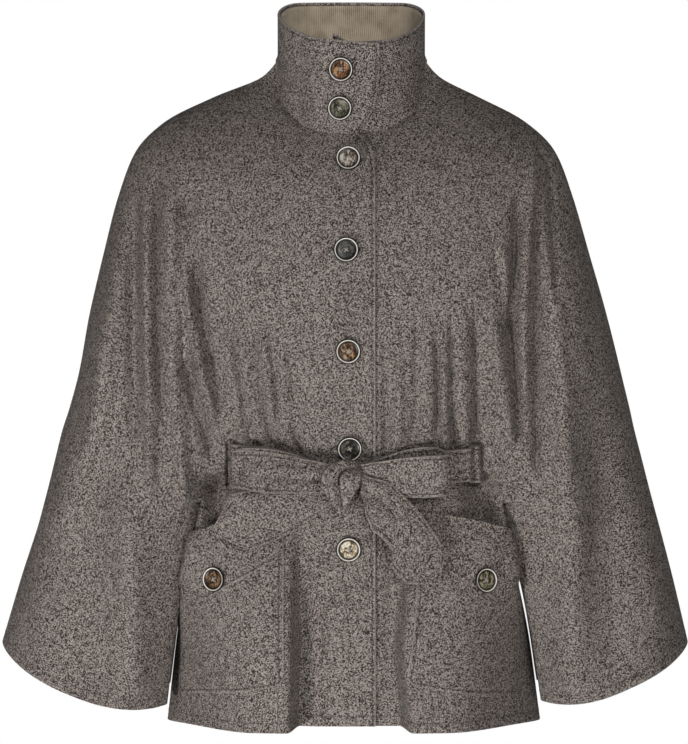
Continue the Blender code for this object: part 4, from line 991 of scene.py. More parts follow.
def share_at(side, x, z):
    """The share of the way at which a front has this x at height z."""
    x, z = np.broadcast_arrays(np.asarray(x, float), np.asarray(z, float))
    line = np.clip(np.rint((z - LEVELS[0]) / (LEVELS[1] - LEVELS[0])).astype(int), 0, len(LEVELS) - 1)
    found = [np.interp(side * a, side * FRONTS[side][k, :, 0], PROBE) for a, k in zip(x.ravel(), line.ravel())]
    return np.array(found).reshape(x.shape)


def lift(side, share, z, height, fronts=FRONTS):
    """Points at these heights over a front, and the directions out of it."""
    across = side * (front_at(side, np.minimum(share + SHARE_STEP, 1.0), z, fronts)
                     - front_at(side, share - SHARE_STEP, z, fronts))
    up = front_at(side, share, z + NORMAL_STEP, fronts) - front_at(side, share, z - NORMAL_STEP, fronts)
    normal = np.cross(across, up)
    normal /= np.linalg.norm(normal, axis=-1, keepdims=True)
    return front_at(side, share, z, fronts) + normal * np.asarray(height)[..., None], normal


def over_front(x, z, height, level_over_skirt=False):
    """Points over the two fronts at x, z. Level over the skirt, they don't follow it where it turns back."""
    x, z, height = np.broadcast_arrays(np.asarray(x, float), np.asarray(z, float), np.asarray(height, float))
    points, normals = np.empty((*x.shape, 3)), np.empty((*x.shape, 3))
    for side in (-1, 1):
        here = (x < LAP) == (side < 0)
        if not here.any():
            continue
        share = share_at(side, x[here], z[here])
        p, n = lift(side, share, z[here], height[here], PLAIN_FRONTS if level_over_skirt else FRONTS)
        if level_over_skirt:
            crest = read(FLUTE_FOOT, "right" if side < 0 else "left", z[here], "z") + FLUTE["wall"]
            p[:, 1] -= flute_depth(side, np.maximum(np.abs(x[here]), crest), z[here])
        points[here], normals[here] = p, n
    return points, normals


def lay(name, points, thickness, finish, edge=1.0, rounding=0.75 * MM):
    """A sheet from one grid of points."""
    cloth = Cloth()
    cloth.fill(cloth.add(points, across_rows(points), down_columns(points), edge))
    return cloth.make(name, thickness, finish, rounding)


print("the front at its widest gather stands at y", round(float(FRONTS[-1][..., 1].min() / MM)), "mm")

# %% [markdown]
# ## The collar and its corduroy
#
# The collar is a band that stands on the neck seam, and its right end laps over its left one. Each of its points has a
# turn, in degrees round the neck, and a share of the way up. The facing is the same band, a little inside it. The
# cords of real corduroy stand out by a third of a millimetre, so here they are real ridges, six points to each.

# %% Collar
COLLAR_EDGE = table("=share x", (-0.05, 6), (0, 9), (0.13, 17), (0.27, 23), (0.54, 26), (1, 27))
COLLAR_UNDER_X = 16 * MM
COLLAR_TOP = table("=turn z", (0, 16), (30, 19), (55, 29), (90, 49), (135, 62), (180, 63.5), (225, 62),
                   (270, 49), (305, 32), (330, 22), (360, 17), (390, 14))
COLLAR_LEAN = 11 * MM
COLLAR_SEAT = 1.8 * MM
COLLAR_LAP_LIFT = 7.0 * MM
COLLAR_LAP_TURNS = (316, 342)
COLLAR_UNDER_RISE = 6 * MM
FACING_GAP = 0.5 * MM
COLLAR_FLARE = 1.6 * MM
RIB = 2.1 * MM
RIB_HEIGHT = 0.42 * MM


def neck_foot(turn):
    """Where the collar's foot stands on the neck seam. turn is 0 at the centre front, then goes left."""
    s = sizes(0.0)
    cosine, sine = np.cos(np.radians(turn)), np.sin(np.radians(turn))
    front_half = cosine > 0
    depth = np.where(front_half, s["front_y"], s["back_y"])
    middle_z = np.where(front_half, s["front_z"], s["back_z"])
    z = s["arm_z"] + (middle_z - s["arm_z"]) * turned(np.abs(cosine), s["lean"])
    x = s["arm_x"] * sine
    x = x + np.interp(np.abs(x), [0, s["side_x"], s["arm_x"]], [0, s["side_sway"], s["arm_sway"]])
    return np.stack([x, -depth * cosine, z], axis=-1)


def collar_point(turn, share, height):
    """Points of the collar at shares of its way up and heights over its middle layer."""
    turn, share, height = np.broadcast_arrays(np.asarray(turn, float), np.asarray(share, float), height)
    foot, way = neck_foot(turn), neck_foot(turn + 3) - neck_foot(turn - 3)
    level = np.linalg.norm(way[..., :2], axis=-1)
    foot_z = foot[..., 2] + COLLAR_SEAT * np.linalg.norm(way, axis=-1) / level
    out = np.stack([way[..., 1], -way[..., 0]], axis=-1) / level[..., None]
    top_z = read(COLLAR_TOP, "z", np.where(turn < 0, turn % 360, turn), "turn")
    top_z = top_z + COLLAR_UNDER_RISE * smooth(-turn / 12)
    forward = COLLAR_LEAN * share * np.maximum(0.0, np.cos(np.radians(turn)))
    start, end = COLLAR_LAP_TURNS
    height = height + COLLAR_LAP_LIFT * smooth((turn - start) / (end - start))
    height = height + COLLAR_FLARE * np.maximum(0.0, 1 - share / 0.12) ** 2
    flat = foot[..., :2] + out * height[..., None]
    flat[..., 1] -= forward
    return np.concatenate([flat, (foot_z + (top_z - foot_z) * share)[..., None]], axis=-1)


def collar_turn(x):
    return np.degrees(np.arcsin(x / sizes(0.0)["arm_x"]))


def collar_band(shares, trim, columns, height=0.0):
    """The grid of a band: columns go round from the under end to the over end, rows go down."""
    share = np.asarray(shares)[::-1, None]
    end = 360 + collar_turn(read(COLLAR_EDGE, "x", share, "share")) - trim
    start = collar_turn(-COLLAR_UNDER_X) + trim
    turn = start + (end - start) * columns[None, :]
    return collar_point(turn, share, height), turn, share


columns = np.concatenate([np.linspace(0, 0.02, 8), np.linspace(0.025, 0.96, 150), np.linspace(0.962, 1, 26)])
points, turn, share = collar_band([-0.035, -0.015, *np.linspace(0, 1, 33)], 0.0, columns)
across, down = across_rows(points), down_columns(points)
edge = np.minimum(across[:, -1:] - across, down)
cloth = Cloth()
cloth.fill(cloth.add(points, across, down, edge))
collar = cloth.make("collar", CLOTH, WOOL)
width, length, area = cut_size(points)
wear(collar, "wool", "collar", flat=(width, length), held="stretched", rests_on=["front_right", "back"], area=area)

# %% Corduroy facing
columns = np.linspace(0, 1, 1680)
depth = -((CLOTH + FACING_CLOTH) / 2 + FACING_GAP)
points, turn, share = collar_band(np.linspace(0.05, 0.93, 12), 1.0, columns, depth)
across = across_rows(points)
crest = (0.5 - 0.5 * np.cos(2 * math.pi * across[:1] / RIB)) ** 0.6 * np.ones_like(share)
inward = np.cross(np.gradient(points, axis=1), np.gradient(points, axis=0))
inward /= np.linalg.norm(inward, axis=-1, keepdims=True)
inward *= np.sign((inward[..., :2] * -points[..., :2]).sum(axis=-1).mean())
cloth = Cloth()
cloth.fill(cloth.add(points + inward * crest[..., None] * RIB_HEIGHT, across, down_columns(points), crest))
facing = cloth.make("collar_facing", FACING_CLOTH, CORDUROY, rounding=None)
width, length, area = cut_size(points)
wear(facing, "corduroy", "collar_facing", flat=(width, length), held="stretched", rests_on=["collar"], area=area)

# %% [markdown]
# ## Pockets and flaps
#
# A patch pocket is sewn flat round its edge and bulges a little in its middle. Its lower corners are round. The flap is
# sewn over the pocket's mouth, has an off-centre point, and is buttoned to the pocket. Each is a grid whose places are
# shares of the way to the side, so that it follows the skirt's folds.

# %% Pockets
POCKETS = {-1: (((-63, -462), (-160, -486)), ((-63, -612), (-167, -636))),
           1: (((73, -462), (163, -486)), ((58, -611), (168.5, -636)))}
FLAPS = {-1: (((-64, -444), (-153, -470)), ((-64, -490), (-161.5, -521))),
         1: (((74, -446), (162, -471)), ((72, -489), (163, -521)))}
FLAP_TIPS = {-1: (0.60, -533), 1: (0.64, -533)}
POCKET_CORNER = 14 * MM
POCKET_BULGE = 3.2 * MM
POCKET_GAP = 0.25 * MM
FLAP_GAP = 0.5 * MM
NAMES = {-1: "right", 1: "left"}


def corner_cut(a, b, radius):
    """Moves points that are a and b from two sides of a corner onto the arcs that round it."""
    shrink = np.minimum(1.0, radius / (np.hypot(radius - a, radius - b) + 1e-9))
    near = (a < radius) & (b < radius)
    return np.where(near, radius - (radius - a) * shrink, a), np.where(near, radius - (radius - b) * shrink, b)


def between(corners, u, v):
    (inner_top, outer_top), (inner_foot, outer_foot) = np.array(corners)
    u, v = u[..., None], v[..., None]
    return (inner_top * (1 - u) + outer_top * u) * (1 - v) + (inner_foot * (1 - u) + outer_foot * u) * v


def on_front(side, corners):
    return np.array([[(float(share_at(side, x * MM, z * MM)), z * MM) for x, z in edge] for edge in corners])


def pocket_size(side):
    (inner_top, _), (inner_foot, outer_foot) = np.array(POCKETS[side]) * MM
    return np.linalg.norm(outer_foot - inner_foot), np.linalg.norm(inner_foot - inner_top)


def pocket_place(side, u, v):
    """Share and z at shares u from the inner side and v from the top of a pocket, with round lower corners."""
    width, height = pocket_size(side)
    inner, foot = corner_cut(u * width, (1 - v) * height, POCKET_CORNER)
    outer, foot = corner_cut(width - inner, foot, POCKET_CORNER)
    place = between(on_front(side, POCKETS[side]), 1 - outer / width, 1 - foot / height)
    return place[..., 0], place[..., 1]


def pocket_height(side, u, v):
    """Sewn down at its edges, the pocket rises quickly from them and bulges in its middle."""
    width, height = pocket_size(side)
    u, v = np.clip(u, 0, 1), np.clip(v, 0, 1)
    inset = np.minimum(np.minimum(u, 1 - u) * width, (1 - v) * height)
    bulge = POCKET_BULGE * (np.sin(math.pi * u) * np.sin(math.pi * np.clip(v * 0.85 + 0.15, 0, 1))) ** 0.7
    return (CLOTH + POCKET_CLOTH) / 2 + POCKET_GAP + bulge + 0.9 * MM * smooth((inset - 4 * MM) / (9 * MM))


def pocket_points(side, u, v, raised=0.0):
    share, z = pocket_place(side, u, v)
    return lift(side, share, z, pocket_height(side, u, v) + raised)[0]


edge_steps = np.array([0, 0.008, 0.018, 0.03, 0.042, 0.06, 0.08, 0.11])
POCKET_U = np.concatenate([edge_steps, np.linspace(0.14, 0.86, 30), 1 - edge_steps[::-1]])
POCKET_V = np.concatenate([np.linspace(0, 0.88, 40), 1 - edge_steps[::-1] * 0.9])
for side, hand in NAMES.items():
    width, height = pocket_size(side)
    u, v = np.meshgrid(POCKET_U, POCKET_V)
    inset = np.minimum(np.minimum(u, 1 - u) * width, (1 - v) * height)
    points = pocket_points(side, u, v)
    piece = lay(f"pocket_{hand}", points, POCKET_CLOTH, WOOL, inset)
    w, h, area = cut_size(points)
    wear(piece, "wool", f"pocket_{hand}", flat=(w, h), held="laid", rests_on=[f"front_{hand}"], area=area)


# %% Flaps
def flap_place(side, u, v):
    corners = on_front(side, FLAPS[side])
    tip_share, tip_z = FLAP_TIPS[side]
    top, foot = between(corners, u, np.zeros_like(u)), between(corners, u, np.ones_like(u))
    foot[..., 1] = np.interp(u, [0, tip_share, 1], [corners[1, 0, 1], tip_z * MM, corners[1, 1, 1]])
    place = top * (1 - v[..., None]) + foot * v[..., None]
    return place[..., 0], place[..., 1]


def flap_height(side, share, z, sag=0.0):
    """Over the front at the flap's seam, and over the pocket below it."""
    (inner_top, outer_top), (inner_foot, _) = on_front(side, POCKETS[side])
    u = np.clip((share - inner_top[0]) / (outer_top[0] - inner_top[0]), 0, 1)
    top = inner_top[1] * (1 - u) + outer_top[1] * u
    v = (top - z) / (inner_top[1] - inner_foot[1])
    return pocket_height(side, u, v) + smooth((v + 0.09) / 0.09) * (POCKET_CLOTH + FLAP_GAP + sag)


def flap_points(side, u, v, raised=0.0):
    share, z = flap_place(side, u, v)
    hang = 2.0 * MM * np.abs(np.sin(3 * math.pi * u)) ** 1.5 * smooth(v / 0.9)
    return lift(side, share, z, flap_height(side, share, z, hang) + raised)[0]


FLAP_U = np.concatenate([edge_steps, np.linspace(0.14, 0.86, 30), 1 - edge_steps[::-1]])
FLAP_V = np.concatenate([np.linspace(0, 0.80, 22), [0.84, 0.88, 0.92, 0.95, 0.975, 1]])
for side, hand in NAMES.items():
    u, v = np.meshgrid(FLAP_U, FLAP_V)
    points = flap_points(side, u, v)
    across, down = across_rows(points), down_columns(points)
    inset = np.minimum(np.minimum(across, across[:, -1:] - across), down[-1:] - down)
    piece = lay(f"flap_{hand}", points, POCKET_CLOTH, WOOL, inset)
    w, h, area = cut_size(points)
    wear(piece, "wool", f"flap_{hand}", flat=(w, h), held="laid", rests_on=[f"pocket_{hand}"], area=area)

# %% [markdown]
# ## The belt
#
# The belt is one double strip. It lies over each front from the knot to a slit, goes in through the slit, and passes
# inside the back. Its lines across go along that whole way, and a smooth curve through them rounds the turns.

# %% Belt
BELT_BAND = table("x z width", (14, -419, 34), (60, -408, 44), (95, -402.5, 47), (150, -401, 47))
BELT_HEIGHT = 3.5 * MM
BELT_CROSSING = ((-2.6, 3.6), (-1.9, 3.5), (-1.35, 2.7), (-1.0, 1.3), (-0.8, -0.6), (-0.6, -2.8), (-0.2, -4.4),
                 (0.5, -5.6), (1.6, -6.0))
BELT_IN_SLIT = {-1: 0.93, 1: 0.74}
BELT_INSIDE = ((138, -31), (140, 0), (129, 44), (100, 71), (52, 86))
BELT_BACK = (0, 90)
WAIST_SWAY = 3 * MM
BELT_OUTER_X = (14.6, 22, 30, 38, 47, 56, 65, 74, 82, 90, 97)
BELT_ACROSS = np.array([-1, -0.96, -0.92, -0.88, -0.84, -0.78, *np.linspace(-0.7, 0.7, 15), 0.78, 0.84, 0.88, 0.92, 0.96, 1])


def belt_lines(side):
    lines = []
    for x in BELT_OUTER_X:
        middle, width = (float(read(BELT_BAND, name, x * MM, "x")) for name in ("z", "width"))
        width *= 1 - (1 - BELT_IN_SLIT[side]) * smooth((x - 75) / 20)
        lines.append(over_front(side * x * MM, middle + BELT_ACROSS * width / 2, BELT_HEIGHT)[0])
    middle, half = sum(SLIT_SHARES) / 2, (SLIT_SHARES[1] - SLIT_SHARES[0]) / 2
    heights = BELT_BAND["z"][-1] + BELT_ACROSS * BELT_WIDTH / 2 * BELT_IN_SLIT[side]
    for place, height in BELT_CROSSING:
        lines.append(lift(side, np.full_like(heights, middle + place * half), heights, height * MM)[0])
    return lines


lines = belt_lines(1)
for x, y in [*BELT_INSIDE, BELT_BACK, *((-x, y) for x, y in reversed(BELT_INSIDE))]:
    z = BELT_BAND["z"][-1] + BELT_ACROSS * BELT_WIDTH / 2 * BELT_IN_SLIT[-1]
    lines.append(np.stack([np.full_like(z, x * MM + WAIST_SWAY), np.full_like(z, y * MM), z], axis=-1))
lines = np.array([*lines, *reversed(belt_lines(-1))])
flat = lines.reshape(len(lines), -1)
points = curve(flat, 2 * flat[0] - flat[1], 2 * flat[-1] - flat[-2], 6).reshape(-1, len(BELT_ACROSS), 3)
half_width = np.linalg.norm(points[:, -1] - points[:, 0], axis=1)[:, None] / 2
belt = lay("belt", points, BELT_CLOTH, WOOL, half_width * (1 - np.abs(BELT_ACROSS)), 1.1 * MM)
BELT_CUT = cut_size(points)
print("belt: shown width and length", [round(x, 3) for x in BELT_CUT])

# %% [markdown]
# ## The bow
#
# The loops and tails are strips too. Each has a few stations on its middle line: x and z, the width of the cloth and
# its height over the fronts. A loop goes out over itself and comes back underneath. Near the knot the cloth is
# gathered, so ridges run along the strip there and fade out. The strip is narrower at the knot for the same reason.

# %% Loops and tails
LOOP_RIGHT = table("x z width height tilt", (-14.8, -411, 30, 18.2, 1), (-26, -410.2, 33, 19.8, 3.5),
                   (-40, -409, 37, 23.5, 6.5), (-72, -405.5, 45, 28.5, 9), (-97, -403.5, 48, 25, 7),
                   (-107, -403.5, 48, 20, 2), (-98, -402, 48, 15.4, -1), (-72, -403, 45, 15.2, -1),
                   (-40, -408, 37, 13.4, 0), (-14.8, -413, 30, 12.6, 0))
LOOP_LEFT = table("x z width height tilt", (12.9, -411, 28, 13, 0), (38, -410, 40, 17.5, -2), (65, -408.5, 47, 22.5, -3.5),
                  (85, -407.5, 49, 23.5, -3.5), (93.5, -407, 49, 18, -1), (85, -404, 48, 10.6, 0),
                  (65, -404.5, 47, 9, 0), (38, -408, 40, 8.6, 0), (13.4, -412, 28, 7.8, 0))
TAIL_RIGHT = table("x z width height tilt", (-13.4, -427, 25, 9.2, 0), (-40, -434, 38, 15, -3),
                   (-70, -446, 47, 19.5, -4), (-100, -457, 49, 21, -3.5), (-116, -462, 49, 20.5, -3), (-131, -466.5, 49, 19, -2))
TAIL_LEFT = table("x z width height tilt", (13.4, -418, 24, 17.8, 0), (32, -436, 36, 21.5, 0), (48, -457, 45, 23.5, 0),
                  (62, -478, 48, 22, 0), (74, -496, 48, 20.5, 0), (87, -512, 48, 19.5, 0))
TIPS = {-1: 30 * MM, 1: 19 * MM}
STRIP_ACROSS = BELT_ACROSS
BULGE = 2.4 * MM


def strip_points(stations, rows, tip=0.0, ridges=(), across=STRIP_ACROSS, raised=0.0, shares=None):
    """The grid of a strip. ridges are its gathers: place across, width as a share, height and reach in metres."""
    p = np.stack(list(stations.values()), axis=1)
    path = curve(p, 2 * p[0] - p[1], 2 * p[-1] - p[-2], 24)
    length = lengths(path[:, (0, 1, 3)])
    way = np.gradient(path[:, :2], axis=0)
    way /= np.linalg.norm(way, axis=1, keepdims=True)
    square = np.stack([-way[:, 1], way[:, 0]], axis=1) * np.sign(way[:1, 0])
    turn = smooth(length / (30 * MM))[:, None] if tip else 0.0
    over = np.array([0.0, 1.0]) * (1 - turn) + square * turn
    over /= np.linalg.norm(over, axis=1, keepdims=True)
    share = (np.linspace(0, 1, rows) if shares is None else shares)[:, None]
    at = share * length[-1] - tip * np.abs(across) * share**3
    x, z, width, height = (np.interp(at, length, path[:, i]) for i in range(4))
    shift = [np.interp(at, length, over[:, i]) * across * width / 2 for i in range(2)]
    from_knot = np.minimum(at, length[-1] - at) if not tip else at
    height = height - np.interp(at, length, path[:, 4]) * across
    height = height + BULGE * (1 - across**2) * smooth(from_knot / (35 * MM)) * smooth((length[-1] - at) / (50 * MM))
    for place, spread, rise, reach in ridges:
        height = height + rise * np.exp(-(((across - place) / spread) ** 2)) * np.exp(-((from_knot / reach) ** 2))
    return over_front(x + shift[0], z + shift[1], height + raised, level_over_skirt=bool(tip))[0]


STRIPS = {
    "loop_right": (LOOP_RIGHT, 150, 0.0, ((-0.62, 0.14, 2.0 * MM, 0.06), (-0.2, 0.12, -2.2 * MM, 0.07),
                                          (0.25, 0.13, 2.2 * MM, 0.06), (0.66, 0.12, -1.8 * MM, 0.05))),
    "loop_left": (LOOP_LEFT, 130, 0.0, ((-0.5, 0.15, 1.8 * MM, 0.05), (0.0, 0.12, -2.0 * MM, 0.055),
                                        (0.5, 0.14, 1.8 * MM, 0.05))),
    "tail_right": (TAIL_RIGHT, 90, TIPS[-1], ((-0.45, 0.16, 1.8 * MM, 0.06), (0.1, 0.13, -2.0 * MM, 0.06),
                                              (0.6, 0.14, 1.6 * MM, 0.05))),
    "tail_left": (TAIL_LEFT, 90, TIPS[1], ((-0.5, 0.16, 2.2 * MM, 0.07), (0.0, 0.13, -2.4 * MM, 0.075),
                                           (0.5, 0.15, 2.0 * MM, 0.06))),
}
made, cuts = {}, {}
for name, (stations, rows, tip, ridges) in STRIPS.items():
    points = strip_points(stations, rows, tip, ridges)
    half_width = across_rows(points)[:, -1:] / 2
    edge = half_width * (1 - np.abs(STRIP_ACROSS))
    if tip:
        edge = np.minimum(edge, down_columns(points)[-1:] - down_columns(points))
    made[name] = lay(name, points, BELT_CLOTH, WOOL, edge, 1.1 * MM)
    cuts[name] = cut_size(points)
    print(name, "width and length", [round(x, 3) for x in cuts[name]])

# %% [markdown]
# ## The knot
#
# The knot is the belt's end wrapped round the middle of the bow: a thick crescent from the upper right over the top and
# round the left, and a tongue that comes out of it and hangs down. Each is a roll: rings of cloth along a path, wide
# and flat, with a few creases along them.

# %% Knot
KNOT_BAND = table("x z width height depth", (9, -399, 6, 16, 3.5), (4.5, -394.8, 10, 21, 6), (-4, -394, 12, 24, 7),
                  (-12, -398.5, 14.5, 26, 7.5), (-17.4, -408, 16, 26.6, 7.8), (-17.4, -418.5, 15.5, 26, 7.5),
                  (-14, -429, 13, 24.5, 6.4), (-9.8, -438, 9, 19.5, 5), (-7.5, -444, 5.5, 14, 3))
KNOT_TONGUE = table("x z width height depth", (6, -398, 12, 12, 4), (5, -404, 19, 18, 6.5), (2.5, -412, 23, 21, 7.5),
                    (-1, -421, 21, 20.5, 7), (-4, -431, 16, 17.5, 5.6), (-6.2, -440, 11.5, 13.5, 4),
                    (-7.6, -447, 7.5, 10, 2.4))


def roll(name, stations, creases, sides=40, steps=9):
    """A closed roll of cloth. creases are ridges along it: the angle round it, and the height."""
    p = np.stack(list(stations.values()), axis=1)
    path = curve(p, 2 * p[0] - p[1], 2 * p[-1] - p[-2], steps)
    way = np.gradient(path[:, :2], axis=0)
    way /= np.linalg.norm(way, axis=1, keepdims=True)
    angle = np.linspace(0, 2 * math.pi, sides, endpoint=False)
    round_ = np.sign(np.cos(angle)) * np.abs(np.cos(angle)) ** 0.85, np.sign(np.sin(angle)) * np.abs(np.sin(angle)) ** 0.8
    rings = []
    for (x, z, width, height, depth), (along_x, along_z) in zip(path, way):
        swell = 1.0 + sum(rise * np.exp(-((np.angle(np.exp(1j * (angle - at))) / 0.28) ** 2)) for at, rise in creases)
        across, out = round_[0] * width / 2 * swell, round_[1] * depth * swell
        rings.append(over_front(x - along_z * across, z + along_x * across, height + out, level_over_skirt=True)[0])
    rings = np.array(rings)
    cloth = Cloth()
    closed = np.concatenate([rings, rings[:, :1]], axis=1)
    index = cloth.add(rings, across_rows(closed)[:, :-1], down_columns(rings))
    cloth.fill(np.concatenate([index, index[:, :1]], axis=1))
    for ring, line in ((rings[:1], index[0]), (rings[-1:], index[-1])):
        middle = cloth.add(ring.mean(axis=1, keepdims=True), 0.0, 0.0)
        both = np.stack([np.full(sides, middle[0, 0]), line, np.roll(line, -1), np.full(sides, middle[0, 0])], axis=1)
        cloth.faces.append(both)
    return cloth


def roll_piece(name, rolls):
    meshes = []
    for part, (stations, creases) in enumerate(rolls):
        cloth = roll(name, stations, creases)
        cloth.faces = [face if len(set(face)) == 4 else face[:3] for group in cloth.faces for face in group.tolist()]
        meshes.append(cloth)
    joined = Cloth()
    faces = []
    for cloth in meshes:
        faces += [[i + joined.count for i in face] for face in cloth.faces]
        for key in ("points", "map", "edge", "hem"):
            getattr(joined, key).extend(getattr(cloth, key))
        joined.count += cloth.count
    mesh = bpy.data.meshes.new(name + "_cloth")
    mesh.from_pydata(np.concatenate(joined.points).tolist(), [], faces)
    corner = np.zeros(len(mesh.loops), np.int32)
    mesh.loops.foreach_get("vertex_index", corner)
    mesh.uv_layers.new(name="cloth").data.foreach_set("uv", np.concatenate(joined.map)[corner].ravel())
    for key in ("edge", "hem"):
        mesh.attributes.new(key, "FLOAT", "POINT").data.foreach_set("value", np.concatenate(getattr(joined, key)))
    mesh.materials.append(WOOL)
    turn_out(mesh)
    mesh.shade_smooth()
    piece = bpy.data.objects.new(name + "_cloth", mesh)
    bpy.context.scene.collection.objects.link(piece)
    return piece


def turn_out(mesh):
    """Makes all faces of closed shells point outward."""
    work = bmesh.new()
    work.from_mesh(mesh)
    bmesh.ops.recalc_face_normals(work, faces=work.faces)
    work.to_mesh(mesh)
    work.free()


knot = roll_piece("knot", ((KNOT_BAND, ((0.9, -0.16), (1.6, 0.10), (2.3, -0.16))), (KNOT_TONGUE, ((1.1, -0.12), (1.9, 0.08)))))
wear(knot, "wool", "knot")
wear(belt, "wool", "belt", flat=BELT_CUT[:2][::-1], held="gathered", rests_on=["front_right", "front_left"],
     area=BELT_CUT[2], with_pieces=[knot])
for name, piece in made.items():
    width, length, area = cuts[name]
    wear(piece, "wool", name, flat=(width, length), held="gathered", rests_on=["belt", "knot"], area=area)

# %% [markdown]
# ## The buttons
#
# The buttons are turned from horn: a raised rim, a shallow dish and four holes. One is made from its profile by going
# round it, and four pins cut the holes with a Boolean. The nine are copies of it, each with horn of its own colours.
# Threads cross in the dish, and a short shank of thread holds the button off the cloth.

# %% One button
COLLAR_BUTTONS = ((-6.5, -10.5), (-7.4, -48.5))
FRONT_BUTTONS = ((0, -100), (-2, -187.5), (0, -286), (1.5, -383), (0.5, -483))
POCKET_BUTTONS = {-1: (-126.5, -512), 1: (130, -513)}
BUTTON_RADIUS = 12.5 * MM
BUTTON_HEIGHT = 3.9 * MM
BUTTON_GAP = 0.5 * MM
HOLE_RADIUS = 1.3 * MM
HOLE_PLACE = 2.05 * MM
BUTTON_PROFILE = ((0.0, 0.0), (0.55, 0.0), (0.82, 0.03), (0.94, 0.16), (0.99, 0.38), (1.0, 0.58), (0.985, 0.78),
                  (0.95, 0.93), (0.905, 1.0), (0.865, 0.99), (0.83, 0.91), (0.80, 0.78), (0.75, 0.69), (0.60, 0.61),
                  (0.40, 0.575), (0.0, 0.56))


def lathe(name, profile, sides):
    """A closed body from a profile of radius and height that starts and ends on the axis."""
    angle = np.linspace(0, 2 * math.pi, sides, endpoint=False)
    points = [(0, 0, profile[0][1])]
    for radius, height in profile[1:-1]:
        points += [(radius * math.cos(a), radius * math.sin(a), height) for a in angle]
    points.append((0, 0, profile[-1][1]))
    faces, last = [], len(points) - 1
    for i in range(sides):
        j = (i + 1) % sides
        faces.append((0, 1 + j, 1 + i))
        faces.append((last, last - sides + i, last - sides + j))
        for ring in range(len(profile) - 3):
            start = 1 + ring * sides
            faces.append((start + i, start + j, start + sides + j, start + sides + i))
    mesh = bpy.data.meshes.new(name)
    mesh.from_pydata(points, [], faces)
    made = bpy.data.objects.new(name, mesh)
    bpy.context.scene.collection.objects.link(made)
    return made


profile = [(radius * BUTTON_RADIUS, height * BUTTON_HEIGHT) for radius, height in BUTTON_PROFILE]
blank = lathe("button_blank", profile, 72)
corners = [(x * HOLE_PLACE, y * HOLE_PLACE) for x in (-1, 1) for y in (-1, 1)]
for x, y in corners:
    pin = lathe("pin", [(0, -0.002), (HOLE_RADIUS, -0.002), (HOLE_RADIUS, 0.008), (0, 0.008)], 14)
    pin.location = (x, y, 0)
    hole = blank.modifiers.new("hole", "BOOLEAN")
    hole.object = pin
    hole.solver = "EXACT"
bpy.context.view_layer.update()
bake(blank)
blank.data.shade_smooth()
blank.data.set_sharp_from_angle(angle=math.radians(38))
for old in [o for o in bpy.data.objects if o.name.startswith("pin")]:
    bpy.data.objects.remove(old)
print("a button has", len(blank.data.polygons), "faces")


# %% Threads
def tube(path, radius, sides=8):
    """Points and faces of a closed tube along a path."""
    path = np.array(path, float)
    way = np.gradient(path, axis=0)
    way /= np.linalg.norm(way, axis=1, keepdims=True)
    first = np.cross(way, (0.31, 0.87, 0.38))
    first /= np.linalg.norm(first, axis=1, keepdims=True)
    second = np.cross(way, first)
    angle = np.linspace(0, 2 * math.pi, sides, endpoint=False)[None, :, None]
    rings = path[:, None] + radius * (np.cos(angle) * first[:, None] + np.sin(angle) * second[:, None])
    faces = []
    for ring in range(len(path) - 1):
        for i in range(sides):
            j = (i + 1) % sides
            faces.append((ring * sides + i, ring * sides + j, (ring + 1) * sides + j, (ring + 1) * sides + i))
    faces += [tuple(range(sides))[::-1], tuple((len(path) - 1) * sides + i for i in range(sides))]
    return rings.reshape(-1, 3), faces


DISH = BUTTON_HEIGHT * 0.565
thread_points, thread_faces = [], []
for start, end in ((corners[0], corners[3]), (corners[1], corners[2])):
    for shift in (-0.24 * MM, 0.24 * MM):
        a, b = np.array([*start, 0.0]), np.array([*end, 0.0])
        side = np.cross(b - a, (0, 0, 1)) / np.linalg.norm(b - a) * shift
        rise = [-1.6, -0.1, 0.30, 0.42, 0.30, -0.1, -1.6] if start == corners[0] else [-1.6, 0.0, 0.55, 0.9, 0.55, 0.0, -1.6]
        steps = [0.02, 0.03, 0.16, 0.5, 0.84, 0.97, 0.98]
        path = [a + (b - a) * t + side + (0, 0, DISH + r * MM) for t, r in zip(steps, rise)]
        points, faces = tube(path, 0.27 * MM)
        thread_faces += [tuple(i + sum(map(len, thread_points)) for i in face) for face in faces]
        thread_points.append(points)
points, faces = tube([(0, 0, -0.9 * MM), (0, 0, 0.3 * MM)], 2.4 * MM, 16)
thread_faces += [tuple(i + sum(map(len, thread_points)) for i in face) for face in faces]
thread_points.append(points)
thread_points = np.concatenate(thread_points)

# %% Nine buttons
HORNS = {
    "button_1": ((0.012, 0.006, 0.004), (0.17, 0.062, 0.022), (0.48, 0.27, 0.12)),
    "button_2": ((0.012, 0.012, 0.007), (0.075, 0.070, 0.042), (0.26, 0.24, 0.16)),
    "button_3": ((0.050, 0.032, 0.022), (0.25, 0.20, 0.155), (0.66, 0.60, 0.52)),
    "button_4": ((0.004, 0.004, 0.004), (0.020, 0.021, 0.019), (0.11, 0.10, 0.09)),
    "button_5": ((0.010, 0.005, 0.003), (0.11, 0.050, 0.023), (0.46, 0.29, 0.16)),
    "button_6": ((0.004, 0.005, 0.004), (0.026, 0.027, 0.022), (0.17, 0.125, 0.085)),
    "button_7": ((0.13, 0.065, 0.022), (0.50, 0.41, 0.26), (0.88, 0.81, 0.66)),
    "button_pocket_right": ((0.006, 0.004, 0.003), (0.048, 0.024, 0.012), (0.30, 0.18, 0.09)),
    "button_pocket_left": ((0.012, 0.010, 0.005), (0.12, 0.102, 0.060), (0.44, 0.40, 0.28)),
}


